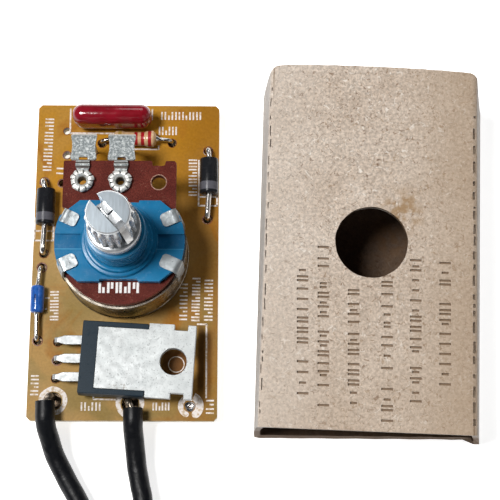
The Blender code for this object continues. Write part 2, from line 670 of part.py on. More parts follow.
# ---- the two black wires ------------------------------------------------------------------
# Each route runs off the end of the board to the coil; both coils lie one on the other.

LEFT_ROUTE = [(-10.30, -20.35, 4.92), (-10.25, -21.5, 4.98), (-10.20, -22.6, 4.95),
              (-10.06, -23.9, 4.35), (-9.70, -25.2, 3.6), (-9.14, -27.15, 2.75),
              (-8.53, -28.5, 2.35), (-7.83, -29.8, 2.1), (-7.11, -31.15, 2.0),
              (-5.82, -33.3, 1.95), (-3.9, -36.9, 1.9), (-1.2, -41.2, 1.9), (1.6, -46.4, 1.9)]
RIGHT_ROUTE = [(1.66, -21.3, 4.95), (1.72, -22.6, 5.0), (1.72, -23.9, 4.6), (1.84, -25.2, 4.05),
               (1.97, -26.5, 3.6), (2.11, -27.85, 3.25), (2.27, -29.2, 3.1), (2.53, -30.5, 3.0),
               (2.79, -31.85, 2.95), (3.12, -33.3, 3.0), (3.45, -37.5, 3.3), (3.58, -41.0, 3.8),
               (3.6, -43.8, 4.2)]
LEFT_STRANDS = [(-9.8, -19.45, PIN_END), (-9.8, -19.45, 4.93), (-10.28, -20.22, 4.93)]
RIGHT_STRANDS = [(0.95, -20.25, PIN_END), (0.95, -20.25, 4.94), (1.63, -21.14, 4.94)]
STRAND_RADIUS = 0.25
TIP_RADIUS = 0.6
TIP_LENGTH = 7.0
TIPS = (("left", (15.4, -64.0), 1.9, 358.0), ("right", (18.9, -64.8), 4.9, 16.0))


def make_leads(board_frame):
    pvc = material("black_pvc", (0.02, 0.02, 0.022), 0.4)
    tin = material("tinned_strands", (0.70, 0.69, 0.67), 0.4, 1.0)
    place(tube("lead_left_wire", through(LEFT_ROUTE), LEAD_RADIUS, pvc), board_frame)
    place(tube("lead_right_wire", through(RIGHT_ROUTE), LEAD_RADIUS, pvc), board_frame)
    place(tube("lead_left_strands", bent(LEFT_STRANDS), STRAND_RADIUS, tin), board_frame)
    place(tube("lead_right_strands", bent(RIGHT_STRANDS), STRAND_RADIUS, tin), board_frame)
    coil_frame = empty("coil_frame", COIL_CENTRE, 0.0, 0.0, board_frame)
    inner, outer = COIL_RADII
    ease = 0.7
    for side, (low, high) in zip(("left", "right"), COIL_LAYERS):
        profile = [(inner + ease, high), (outer - ease, high), (outer, high - ease),
                   (outer, low + ease), (outer - ease, low), (inner + ease, low),
                   (inner, low + ease), (inner, high - ease)]
        place(turned(f"lead_{side}_coil", profile, pvc, 32, closed=True), coil_frame)
    band_low = COIL_RADII[0] - 0.25, -1.2, 0.35
    band_high = COIL_RADII[1] + 0.25, 1.2, COIL_LAYERS[1][1] + 0.2
    thickness = 0.35
    tie = box("lead_tie", (band_low[0] - thickness, -1.2, 0.0),
              (band_high[0] + thickness, 1.2, band_high[2] + thickness), pvc)
    place(tie, coil_frame)
    cut(tie, box("tie_window", (band_low[0], -2.0, band_low[2]), (band_high[0], 2.0, band_high[2])),
        coil_frame)
    for side, (x, y), z, heading in TIPS:
        dx, dy = cos(radians(heading)), sin(radians(heading))
        ends = [(x + dx * t, y + dy * t, z) for t in (0.0, TIP_LENGTH / 2, TIP_LENGTH)]
        place(tube(f"lead_{side}_tip", ends, TIP_RADIUS, tin), board_frame)


# ---- fibreboard sleeve --------------------------------------------------------------------


def rounded_loop(corners, radius, count=4):
    """A closed outline with every corner rounded."""
    outline = []
    for i, corner in enumerate(corners):
        before, after = corners[i - 1], corners[(i + 1) % len(corners)]
        ends = []
        for other in (before, after):
            length = hypot(other[0] - corner[0], other[1] - corner[1])
            ends.append([c + (o - c) * radius / length for c, o in zip(corner, other)])
        for k in range(count + 1):
            t = k / count
            outline.append(tuple(a * (1 - t) ** 2 + c * 2 * t * (1 - t) + b * t * t
                                 for a, c, b in zip(ends[0], corner, ends[1])))
    return outline


def sleeve_section(inset):
    """The sleeve's end outline in (across, up); its right side leans out at the foot."""
    low, high = inset, SLEEVE_HEIGHT - inset
    lean = (SLEEVE_FOOT_SPAN[1] - SLEEVE_TOP_SPAN[1]) / SLEEVE_HEIGHT
    left = SLEEVE_FOOT_SPAN[0] + inset
    right_low = SLEEVE_FOOT_SPAN[1] - inset - lean * inset
    right_high = SLEEVE_TOP_SPAN[1] - inset + lean * inset
    corners = [(left, low), (right_low, low), (right_high, high),
               (SLEEVE_TOP_SPAN[0] + inset, high)]
    return rounded_loop(corners, max(SLEEVE_CORNER - 0.6 * inset, 0.2))


def make_sleeve(board_frame):
    """Folded from one sheet: two open ends, a shaft hole and one foot edge cut askew."""
    frame = empty("sleeve_frame", SLEEVE_CENTRE, 0.0, SLEEVE_ANGLE, board_frame)
    fibre = material("fibreboard", (0.50, 0.40, 0.31), 0.85)
    half = SLEEVE_LENGTH / 2
    sleeve = flat("insulating_sleeve", [sleeve_section(0.0), sleeve_section(SLEEVE_WALL)],
                  -half, half, fibre)
    for vertex in sleeve.data.vertices:
        x, up, along = vertex.co
        vertex.co = (x, -along, up)
    place(sleeve, frame)
    high = SLEEVE_HEIGHT
    hole = cone("sleeve_hole", SLEEVE_HOLE, high - 2.0, high + 1.0, SLEEVE_HOLE_RADIUS,
                SLEEVE_HOLE_RADIUS, 40)
    cut(sleeve, hole, frame)
    askew = empty("foot_edge_frame", (SLEEVE_FOOT_SPAN[0] + 1.2, -half + 0.15), 0.0, 1.95, frame)
    cut(sleeve, box("foot_edge", (0.0, -3.0, -1.0), (28.4, 0.0, SLEEVE_WALL + 0.01)), askew)


def main():
    board_frame = empty("board_frame", BOARD_CENTRE)
    make_board(board_frame)
    make_tracks(board_frame)
    make_board_parts(board_frame)
    make_capacitor(board_frame)
    make_triac(board_frame)
    make_potentiometer(board_frame)
    make_leads(board_frame)
    make_sleeve(board_frame)


main()
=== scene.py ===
"""Finished looks for the dimmer module and its fibreboard sleeve.

Shapes are drawn in millimetres from the circuit board's centre, with z counted from the bench.
Shapes on the potentiometer, triac and capacitor are drawn about their own centre and then moved.
"""
import random
from math import atan2, cos, degrees, hypot, pi, radians, sin, sqrt, tau

import bmesh
import bpy
from mathutils import Matrix, Vector


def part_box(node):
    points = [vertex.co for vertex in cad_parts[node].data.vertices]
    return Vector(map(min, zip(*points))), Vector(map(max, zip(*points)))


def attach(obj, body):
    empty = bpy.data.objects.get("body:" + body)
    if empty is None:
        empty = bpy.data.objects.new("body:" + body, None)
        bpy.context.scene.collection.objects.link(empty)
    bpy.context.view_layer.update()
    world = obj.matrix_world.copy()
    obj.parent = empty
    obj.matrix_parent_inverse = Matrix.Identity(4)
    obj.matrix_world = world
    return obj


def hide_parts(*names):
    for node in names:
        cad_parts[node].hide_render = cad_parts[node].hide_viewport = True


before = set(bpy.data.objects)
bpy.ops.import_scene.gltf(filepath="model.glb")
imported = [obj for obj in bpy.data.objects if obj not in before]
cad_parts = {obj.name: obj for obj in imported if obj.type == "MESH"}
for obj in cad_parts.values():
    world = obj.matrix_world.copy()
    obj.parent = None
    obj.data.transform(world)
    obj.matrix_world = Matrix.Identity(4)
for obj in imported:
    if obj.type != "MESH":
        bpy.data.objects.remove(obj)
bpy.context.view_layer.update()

MM = 0.001


def middle(node):
    low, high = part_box(node)
    return [(a + b) / 2 / MM for a, b in zip(low, high)]


OX, OY, _ = middle("circuit_board")
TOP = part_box("circuit_board")[1][2] / MM
POT = (0.0, middle("pot_can")[1] - OY)
SLEEVE = (33.2, -0.6)
SLEEVE_TURN = -2.15
TRIAC = (2.24, -14.91)
TRIAC_TURN = -3.25

# ---- camera, lights and floor -------------------------------------------------------------

# the camera that took the photograph: lens in mm on a 36 mm sensor, place from the board's centre
# and face in mm, turn in degrees about X, Y and Z
LENS = 87.93
CAMERA_PLACE = (15.607, -37.221, 168.776)
CAMERA_TURN = (12.867, -0.655, 0.261)
# name, place in metres, disc size in metres, power in watts, color
LIGHTS = (("key", (-0.262, 0.01, 0.60), 0.19, 3.9, (1.0, 0.985, 0.965)),
          ("back", (0.04, 0.34, 0.30), 0.2, 0.25, (1, 1, 1)),
          ("fill", (0.25, -0.22, 0.28), 0.3, 0.08, (1, 1, 1)))


def show(name, data):
    """Puts a new object in the scene."""
    obj = bpy.data.objects.new(name, data)
    bpy.context.scene.collection.objects.link(obj)
    return obj


def make_camera():
    data = bpy.data.cameras.new("camera")
    data.lens = LENS
    data.sensor_width = 36.0
    data.clip_start = 0.01
    camera = show("camera", data)
    turn = Matrix()
    for angle, axis in zip(CAMERA_TURN, "XYZ"):
        turn = turn @ Matrix.Rotation(radians(angle), 4, axis)
    x, y, z = CAMERA_PLACE
    camera.matrix_world = Matrix.Translation(Vector((OX + x, OY + y, TOP + z)) * MM) @ turn
    bpy.context.scene.camera = camera


def area_light(name, place, size, power, color):
    """A disc lamp aimed at the middle of the scene."""
    data = bpy.data.lights.new(name, "AREA")
    data.shape = "DISK"
    data.size = size
    data.energy = power
    data.color = color
    light = show(name, data)
    light.location = place
    light.rotation_euler = (-Vector(place)).to_track_quat("-Z", "Y").to_euler()


def make_world():
    """A surround that is bright from the sides and below, and dim overhead."""
    world = bpy.data.worlds.new("studio")
    bpy.context.scene.world = world
    world.use_nodes = True
    tree = world.node_tree
    background = tree.nodes["Background"]
    where = tree.nodes.new("ShaderNodeTexCoord")
    split = tree.nodes.new("ShaderNodeSeparateXYZ")
    ramp = tree.nodes.new("ShaderNodeValToRGB")
    tree.links.new(where.outputs["Generated"], split.inputs[0])
    tree.links.new(split.outputs["Z"], ramp.inputs["Fac"])
    tree.links.new(ramp.outputs["Color"], background.inputs["Color"])
    for element, at, color in zip(ramp.color_ramp.elements, (0.15, 0.9),
                                  ((0.9, 0.92, 0.95, 1), (0.2, 0.21, 0.23, 1))):
        element.color = color
        element.position = at
    background.inputs["Strength"].default_value = 0.10


def make_studio():
    bpy.context.scene.view_settings.view_transform = "Standard"
    make_world()
    for light in LIGHTS:
        area_light(*light)
    bpy.ops.mesh.primitive_plane_add(size=3.0, location=(0.0, 0.0, -0.00002))
    floor = bpy.context.object
    floor.name = "floor"
    paper = Look("floor_paper", (0.93, 0.93, 0.93), 0.9)
    paper.feed("Emission Color", (1.0, 1.0, 1.0, 1.0))
    paper.feed("Emission Strength", 0.74)
    paper.lumps(0.05, 0.05, 3.0, 3)
    floor.data.materials.append(paper.mat)


# ---- materials ----------------------------------------------------------------------------


class Look:
    """A node material in the making. Methods that compute something return its output socket."""

    def __init__(self, name, color, rough, metal=0.0, specular=0.5, coat=0.0, coat_rough=0.03):
        self.mat = bpy.data.materials.new(name)
        self.mat.use_nodes = True
        self.tree = self.mat.node_tree
        self.shader = self.tree.nodes["Principled BSDF"]
        self.paint(color)
        for socket, value in (("Roughness", rough), ("Metallic", metal), ("Specular IOR Level", specular),
                              ("Coat Weight", coat), ("Coat Roughness", coat_rough)):
            self.feed(socket, value)
        self.space = self.new("ShaderNodeTexCoord").outputs["Object"]
        self.normal = None

    def new(self, kind, **settings):
        node = self.tree.nodes.new(kind)
        for key, value in settings.items():
            setattr(node, key, value)
        return node

    def feed(self, socket, value):
        if isinstance(socket, str):
            socket = self.shader.inputs[socket]
        if isinstance(value, bpy.types.NodeSocket):
            self.tree.links.new(value, socket)
        else:
            socket.default_value = value

    def placed(self, stretch, turn, shift):
        node = self.new("ShaderNodeMapping")
        self.feed(node.inputs["Vector"], self.space)
        node.inputs["Scale"].default_value = stretch
        node.inputs["Rotation"].default_value = (0.0, 0.0, radians(turn))
        node.inputs["Location"].default_value = [s * MM for s in shift]
        return node.outputs[0]

    def noise(self, size, detail=3.0, stretch=None, turn=0.0, warp=0.0, rough=0.5, shift=(0, 0, 0)):
        node = self.new("ShaderNodeTexNoise")
        if stretch or turn or any(shift):
            self.feed(node.inputs["Vector"], self.placed(stretch or (1, 1, 1), turn, shift))
        else:
            self.feed(node.inputs["Vector"], self.space)
        for socket, value in (("Scale", 1.0 / (size * MM)), ("Detail", detail), ("Roughness", rough),
                              ("Distortion", warp)):
            node.inputs[socket].default_value = value
        return node.outputs["Fac"]

    def ramp(self, value, *stops):
        node = self.new("ShaderNodeValToRGB")
        self.feed(node.inputs[0], value)
        elements = node.color_ramp.elements
        while len(elements) < len(stops):
            elements.new(0.5)
        for element, (at, color) in zip(elements, stops):
            element.position = at
            if isinstance(color, (int, float)):
                color = (color, color, color)
            element.color = (*color, 1.0)
        return node.outputs["Color"]

    def tones(self, size, detail, *stops, **settings):
        """Noise of a size in millimetres, through a ramp."""
        return self.ramp(self.noise(size, detail, **settings), *stops)

    def math(self, operation, a, b=0.0, clamp=False):
        node = self.new("ShaderNodeMath", operation=operation, use_clamp=clamp)
        self.feed(node.inputs[0], a)
        self.feed(node.inputs[1], b)
        return node.outputs[0]

    def times(self, a, b):
        return self.math("MULTIPLY", a, b)

    def plus(self, a, b):
        return self.math("ADD", a, b)

    def minus(self, a, b):
        return self.math("SUBTRACT", a, b)

    def mix(self, share, a, b, mode="MIX"):
        node = self.new("ShaderNodeMix", data_type="RGBA", blend_type=mode)
        for socket, value in ((node.inputs[0], share), (node.inputs[6], a), (node.inputs[7], b)):
            if isinstance(value, tuple):
                value = (*value, 1.0)
            self.feed(socket, value)
        return node.outputs[2]

    def paint(self, color):
        """Sets the base color that layers and tints go over."""
        self.color = color
        self.feed("Base Color", (*color, 1.0) if isinstance(color, tuple) else color)

    def cloud(self, size, detail, dark, light, **settings):
        """Paints with two colors that drift into each other."""
        self.paint(self.tones(size, detail, (0.3, dark), (0.7, light), **settings))

    def layer(self, mask, color, share=1.0):
        """Another color where the mask is 1, as strong as the share."""
        if share < 1.0:
            mask = self.times(mask, share)
        self.paint(self.mix(mask, self.color, color))

    def tint(self, factor):
        self.paint(self.mix(1.0, self.color, factor, "MULTIPLY"))

    def along(self, axis):
        """Position in millimetres from the board's centre, or from the bench for Z."""
        node = self.new("ShaderNodeSeparateXYZ")
        self.feed(node.inputs[0], self.space)
        scaled = self.times(node.outputs["XYZ".index(axis)], 1.0 / MM)
        return self.minus(scaled, {"X": OX, "Y": OY, "Z": 0.0}[axis])

    def step(self, value, low, high):
        """0 at low, 1 at high, smooth between; low may be the greater of the two."""
        node = self.new("ShaderNodeMapRange", interpolation_type="SMOOTHSTEP")
        self.feed(node.inputs[0], value)
        node.inputs[1].default_value = low
        node.inputs[2].default_value = high
        return node.outputs[0]

    def band(self, value, low, high, soft):
        """1 between low and high, 0 outside, with soft edges."""
        rise = self.step(value, low - soft, low + soft)
        return self.times(rise, self.step(value, high + soft, high - soft))

    def window(self, across, up, soft_x, soft_y):
        """A rectangle seen from above, from its spans along X and Y and how soft its edges are."""
        return self.times(self.band(self.along("X"), *across, soft_x),
                          self.band(self.along("Y"), *up, soft_y))

    def facing(self, axis="Z"):
        node = self.new("ShaderNodeNewGeometry")
        split = self.new("ShaderNodeSeparateXYZ")
        self.feed(split.inputs[0], node.outputs["True Normal"])
        return split.outputs[axis]

    def bump(self, height, strength, depth):
        node = self.new("ShaderNodeBump")
        node.inputs["Strength"].default_value = strength
        node.inputs["Distance"].default_value = depth * MM
        self.feed(node.inputs["Height"], height)
        if self.normal:
            self.feed(node.inputs["Normal"], self.normal)
        self.normal = node.outputs[0]
        self.feed("Normal", self.normal)

    def lumps(self, strength, depth, *size, **settings):
        """A bump of noise; depth and size are in millimetres."""
        self.bump(self.noise(*size, **settings), strength, depth)

    def wear(self, size, low, high):
        """Roughness that wanders between low and high."""
        self.feed("Roughness", self.tones(size, 5, (0.3, low), (0.7, high)))


# ---- mesh tools ---------------------------------------------------------------------------


def lathe(profile, steps=64, closed=False):
    """Turns (radius, height) points round Z. Points on the axis close the ends."""
    bm = bmesh.new()
    rings = []
    for r, z in profile:
        if r < 1e-6:
            rings.append([bm.verts.new((0, 0, z))])
        else:
            rings.append([bm.verts.new((r * cos(tau * i / steps), r * sin(tau * i / steps), z))
                          for i in range(steps)])
    pairs = list(zip(rings, rings[1:]))
    if closed:
        pairs.append((rings[-1], rings[0]))
    for a, b in pairs:
        for i in range(steps):
            j = (i + 1) % steps
            corners = [a[i % len(a)], a[j % len(a)], b[j % len(b)], b[i % len(b)]]
            unique = list(dict.fromkeys(corners))
            if len(unique) > 2:
                bm.faces.new(unique)
    bmesh.ops.recalc_face_normals(bm, faces=bm.faces)
    return bm


def loft(rings, closed_ends=True):
    """Joins equal rings of points into one skin."""
    bm = bmesh.new()
    made = [[bm.verts.new(p) for p in ring] for ring in rings]
    for a, b in zip(made, made[1:]):
        for i in range(len(a)):
            j = (i + 1) % len(a)
            bm.faces.new((a[i], a[j], b[j], b[i]))
    if closed_ends:
        bm.faces.new(made[0])
        bm.faces.new(made[-1])
    bmesh.ops.recalc_face_normals(bm, faces=bm.faces)
    return bm


def frames_along(path):
    """Points with two crosswise directions that don't twist along the path."""
    points = [Vector(p) for p in path]
    tangents = []
    for i in range(len(points)):
        a, b = points[max(i - 1, 0)], points[min(i + 1, len(points) - 1)]
        tangents.append((b - a).normalized())
    side = tangents[0].orthogonal().normalized()
    frames = []
    for point, tangent in zip(points, tangents):
        side = (side - tangent * side.dot(tangent)).normalized()
        frames.append((point, side, tangent.cross(side)))
    return frames


def rod(path, radius, sides=14):
    """A round wire; radius is a number or a function of the share along it."""
    rings = []
    frames = frames_along(path)
    for i, (point, side, across) in enumerate(frames):
        r = radius(i / (len(frames) - 1)) if callable(radius) else radius
        rings.append([point + side * (r * cos(tau * k / sides)) + across * (r * sin(tau * k / sides))
                      for k in range(sides)])
    return loft(rings)


def tube(rings):
    """A closed skin over rings whose last joins the first."""
    bm = loft(rings + [rings[0]], closed_ends=False)
    bmesh.ops.remove_doubles(bm, verts=bm.verts, dist=0.0001)
    bmesh.ops.recalc_face_normals(bm, faces=bm.faces)
    return bm


def flat(outline, low, high, holes=()):
    """A plate between two heights, from its outline and its holes."""
    curve = bpy.data.curves.new("outline", "CURVE")
    curve.dimensions = "2D"
    curve.fill_mode = "BOTH"
    curve.extrude = (high - low) / 2
    for line in (outline, *holes):
        spline = curve.splines.new("POLY")
        spline.points.add(len(line) - 1)
        for point, (x, y) in zip(spline.points, line):
            point.co = (x, y, 0.0, 1.0)
        spline.use_cyclic_u = True
    drawn = show("outline", curve)
    bpy.context.view_layer.update()
    mesh = bpy.data.meshes.new_from_object(drawn.evaluated_get(bpy.context.evaluated_depsgraph_get()))
    bm = bmesh.new()
    bm.from_mesh(mesh)
    bpy.data.objects.remove(drawn, do_unlink=True)
    bmesh.ops.remove_doubles(bm, verts=bm.verts, dist=0.0005)
    bmesh.ops.translate(bm, vec=(0, 0, (low + high) / 2), verts=bm.verts)
    bmesh.ops.recalc_face_normals(bm, faces=bm.faces)
    return bm


def block(low, high, bevel=0.0, segments=2):
    """A box between two corners."""
    bm = bmesh.new()
    bmesh.ops.create_cube(bm, size=1.0)
    size = [h - l for l, h in zip(low, high)]
    bmesh.ops.scale(bm, vec=size, verts=bm.verts)
    bmesh.ops.translate(bm, vec=[(h + l) / 2 for l, h in zip(low, high)], verts=bm.verts)
    if bevel:
        bmesh.ops.bevel(bm, geom=bm.edges[:], offset=bevel, segments=segments, profile=0.5,
                        affect="EDGES", clamp_overlap=True)
    return bm


QUARTER_X = Matrix.Rotation(radians(90), 4, "X")
BACK_QUARTER_X = Matrix.Rotation(radians(-90), 4, "X")
QUARTER_Y = Matrix.Rotation(radians(90), 4, "Y")


def moved(bm, xyz=(0, 0, 0), turn=0.0, tilt=None):
    """Tilts a mesh by a matrix, then turns it round Z by degrees, then shifts it."""
    if tilt:
        bm.transform(tilt)
    bm.transform(Matrix.Translation(Vector(xyz)) @ Matrix.Rotation(radians(turn), 4, "Z"))
    return bm


def joined(*parts):
    """One mesh from several, which are used up."""
    bm = bmesh.new()
    for part in parts:
        mesh = bpy.data.meshes.new("part")
        part.to_mesh(mesh)
        part.free()
        bm.from_mesh(mesh)
        bpy.data.meshes.remove(mesh)
    return bm


def carved(bm, *steps):
    """Applies (operation, other) Booleans to bm."""
    def as_object(shape):
        mesh = bpy.data.meshes.new("carving")
        shape.to_mesh(mesh)
        shape.free()
        return show("carving", mesh)
    base = as_object(bm)
    others = []
    for operation, other in steps:
        tool = as_object(other)
        others.append(tool)
        step = base.modifiers.new("step", "BOOLEAN")
        step.operation = operation
        step.object = tool
        step.solver = "EXACT"
    bpy.context.view_layer.update()
    mesh = bpy.data.meshes.new_from_object(base.evaluated_get(bpy.context.evaluated_depsgraph_get()))
    made = bmesh.new()
    made.from_mesh(mesh)
    for obj in (base, *others):
        bpy.data.objects.remove(obj, do_unlink=True)
    bmesh.ops.remove_doubles(made, verts=made.verts, dist=0.001)
    bmesh.ops.dissolve_degenerate(made, dist=0.0005, edges=made.edges)
    return made


def piece(name, bm, look, body="module", stands_for=(), crease=35.0, bevel=0.0,
          bevel_angle=40.0, segments=2):
    """Puts a finished mesh in the scene, in metres, riding on its body."""
    for vertex in bm.verts:
        vertex.co = Vector(((vertex.co.x + OX) * MM, (vertex.co.y + OY) * MM, vertex.co.z * MM))
    mesh = bpy.data.meshes.new(name)
    bm.to_mesh(mesh)
    bm.free()
    mesh.materials.append(look.mat)
    mesh.shade_smooth()
    mesh.set_sharp_from_angle(angle=radians(crease))
    obj = show(name, mesh)
    if bevel:
        edge = obj.modifiers.new("edges", "BEVEL")
        edge.width = bevel * MM
        edge.segments = segments
        edge.limit_method = "ANGLE"
        edge.angle_limit = radians(bevel_angle)
        edge.harden_normals = True
    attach(obj, body)
    if stands_for:
        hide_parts(*stands_for)
    return obj


def arc(centre, radius, start, end, count):
    turns = [radians(start + (end - start) * i / (count - 1)) for i in range(count)]
    return [(centre[0] + radius * cos(t), centre[1] + radius * sin(t)) for t in turns]


def circle(centre, radius, sides=32):
    return [(centre[0] + radius * cos(tau * i / sides), centre[1] + radius * sin(tau * i / sides))
            for i in range(sides)]


def rounded(corners, radius, count=5):
    """An outline with every corner rounded; radius is one number or one per corner."""
    outline = []
    for i, corner in enumerate(corners):
        r = radius[i] if isinstance(radius, (list, tuple)) else radius
        if r <= 0:
            outline.append(tuple(corner))
            continue
        ends = []
        for other in (corners[i - 1], corners[(i + 1) % len(corners)]):
            length = hypot(other[0] - corner[0], other[1] - corner[1])
            reach = min(r, 0.49 * length)
            ends.append([c + (o - c) * reach / length for c, o in zip(corner, other)])
        for k in range(count + 1):
            t = k / count
            outline.append(tuple(a * (1 - t) ** 2 + c * 2 * t * (1 - t) + b * t * t
                                 for a, c, b in zip(ends[0], corner, ends[1])))
    return outline


def smooth_path(points, spacing):
    """Catmull-Rom through the points, then evenly spaced."""
    ends = [Vector(p) for p in points]
    ends = [ends[0] * 2 - ends[1]] + ends + [ends[-1] * 2 - ends[-2]]
    dense = []
    for p0, p1, p2, p3 in zip(ends, ends[1:], ends[2:], ends[3:]):
        for i in range(12):
            t = i / 12
            dense.append(0.5 * (2 * p1 + (p2 - p0) * t + (2 * p0 - 5 * p1 + 4 * p2 - p3) * t ** 2
                                + (3 * p1 - p0 - 3 * p2 + p3) * t ** 3))
    dense.append(ends[-2])
    return evenly(dense, spacing)


def evenly(points, spacing):
    """The same line with its points the same distance apart."""
    total = sum((b - a).length for a, b in zip(points, points[1:]))
    count = max(int(round(total / spacing)), 2)
    path, want, run = [points[0]], total / count, 0.0
    for a, b in zip(points, points[1:]):
        length = (b - a).length
        while run + length >= want * len(path) and len(path) < count:
            share = (want * len(path) - run) / length
            path.append(a + (b - a) * share)
        run += length
    path.append(points[-1])
    return path


def bent(points, bend, count=7):
    """Straight runs joined by round corners."""
    path = [Vector(points[0])]
    for before, corner, after in zip(points, points[1:], points[2:]):
        corner = Vector(corner)
        to_before, to_after = Vector(before) - corner, Vector(after) - corner
        reach = min(bend, 0.48 * to_before.length, 0.48 * to_after.length)
        a = corner + to_before.normalized() * reach
        b = corner + to_after.normalized() * reach
        for i in range(count + 1):
            t = i / count
            path.append(a * (1 - t) ** 2 + corner * 2 * t * (1 - t) + b * t * t)
    path.append(Vector(points[-1]))
    return path


def strip(path, thickness, across):
    """Bent sheet metal. The path holds (point, half width); across is the width direction."""
    across = Vector(across).normalized()
    rings = []
    points = [Vector(p) for p, _ in path]
    for i, (point, (_, half)) in enumerate(zip(points, path)):
        a, b = points[max(i - 1, 0)], points[min(i + 1, len(points) - 1)]
        normal = (b - a).normalized().cross(across) * (thickness / 2)
        wide = across * half
        rings.append([point - wide - normal, point + wide - normal,
                      point + wide + normal, point - wide + normal])
    return loft(rings)


# ---- looks shared by several pieces -------------------------------------------------------


def laminate_look():
    look = Look("amber_laminate", (0.50, 0.235, 0.018), 0.4, specular=0.08)
    x, y = look.along("X"), look.along("Y")
    broad = look.tones(11.0, 2, (0.40, 0.0), (0.62, 1.0), warp=0.6)
    pale = look.math("ADD", look.times(look.step(y, 14.0, -4.0), 0.75), look.times(broad, 0.3), clamp=True)
    look.layer(pale, (0.42, 0.27, 0.10))
    # darker towards the east: partly painted shade from the potentiometer, partly tracks showing through
    # the laminate
    look.layer(look.step(x, 2.0, 12.0), (0.25, 0.10, 0.009), 0.62)
    olive = look.tones(7.0, 2, (0.42, 0.0), (0.60, 0.75), warp=0.8, shift=(5, 2, 0))
    look.layer(look.times(olive, look.step(y, 4.0, -10.0)), (0.27, 0.19, 0.055))
    rust = look.tones(5.5, 3, (0.56, 0.0), (0.70, 0.75), warp=1.0, shift=(3, 1, 0))
    look.layer(rust, (0.36, 0.135, 0.012))
    # shade beside the triac's tab, and on the board seen through the tab's hole
    look.layer(look.window((10.35, 11.3), (-19.0, -9.6), 0.25, 1.2), (0.06, 0.022, 0.003), 0.85)
    look.layer(look.window((11.75, 12.3), (-19.5, -10.5), 0.3, 1.6), (0.16, 0.055, 0.006), 0.6)
    look.layer(look.window((5.4, 9.4), (-17.0, -13.0), 0.5, 0.5), (0.12, 0.04, 0.012), 0.8)
    look.tint(look.tones(0.35, 2, (0.3, 0.9), (0.7, 1.07)))
    look.layer(look.step(look.facing(), 0.6, 0.3), (0.40, 0.33, 0.20))
    look.wear(2.0, 0.22, 0.4)
    look.lumps(0.12, 0.03, 0.5, 3)
    return look


def tin_look(name="bright_tin", color=(0.84, 0.84, 0.85), low=0.16, high=0.34, lump=0.6, strength=0.25,
             metal=1.0):
    look = Look(name, color, 0.25, metal)
    look.tint(look.tones(lump, 4, (0.32, 0.72), (0.7, 1.05), warp=0.4))
    look.wear(lump * 0.8, low, high)
    look.lumps(strength, 0.06, lump * 0.7, 3)
    return look


def epoxy_look(name, color, rough=0.42):
    look = Look(name, color, rough, specular=0.12)
    look.tint(look.tones(0.12, 2, (0.35, 0.8), (0.7, 1.25)))
    look.wear(0.8, rough - 0.16, rough)
    look.lumps(0.25, 0.02, 0.14, 2)
    return look


def legs_look():
    look = Look("plated_legs", (0.62, 0.64, 0.65), 0.45, 0.5)
    look.paint(look.tones(0.6, 4, (0.3, (0.34, 0.36, 0.37)), (0.65, (0.52, 0.54, 0.55))))
    look.wear(0.5, 0.35, 0.55)
    look.lumps(0.12, 0.04, 0.5, 3)
    return look


def eyelet_look():
    look = tin_look("eyelet_tin", (0.86, 0.87, 0.84), 0.4, 0.55, 0.35, 0.3, metal=0.6)
    look.paint(look.tones(0.3, 4, (0.3, (0.66, 0.67, 0.64)), (0.65, (0.93, 0.93, 0.90))))
    # painted shade: faces that turn away from straight up, down the funnel into the hole and in the splits
    # between the teeth, are darkened
    look.layer(look.step(look.facing(), 0.5, 0.15), (0.10, 0.085, 0.065), 0.85)
    return look


def make_looks():
    looks = {
        "laminate": laminate_look(),
        "tin": tin_look(),
        "wire": tin_look("component_wire", (0.80, 0.79, 0.78), 0.14, 0.3, 0.9, 0.15),
        "plated": legs_look(),
        "solder": tin_look("solder", (0.22, 0.16, 0.11), 0.25, 0.5, 0.5, 0.35),
        "epoxy": epoxy_look("triac_epoxy", (0.016, 0.031, 0.046)),
        "strand": tin_look("wire_strands", (0.42, 0.36, 0.30), 0.3, 0.5, 0.3, 0.2),
        "eyelet": eyelet_look(),
    }
    bronze = tin_look("spring_bronze", (0.62, 0.42, 0.18), 0.2, 0.35, 0.8, 0.1)
    inner = {"pot_rotor": epoxy_look("black_nylon", (0.015, 0.015, 0.016), 0.5),
             "pot_wiper": bronze,
             "pot_shaft_clip": bronze,
             "pot_carbon_track": epoxy_look("carbon_film", (0.012, 0.012, 0.012), 0.6),
             "pot_collector_ring": tin_look("silver_ink", (0.6, 0.6, 0.6), 0.4, 0.5, 0.4, 0.1)}
    inner.update({node: looks["solder"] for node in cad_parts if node.startswith("track_")})
    for node, look in inner.items():
        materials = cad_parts[node].data.materials
        materials.clear()
        materials.append(look.mat)
    return looks


# ---- the two black wires ------------------------------------------------------------------

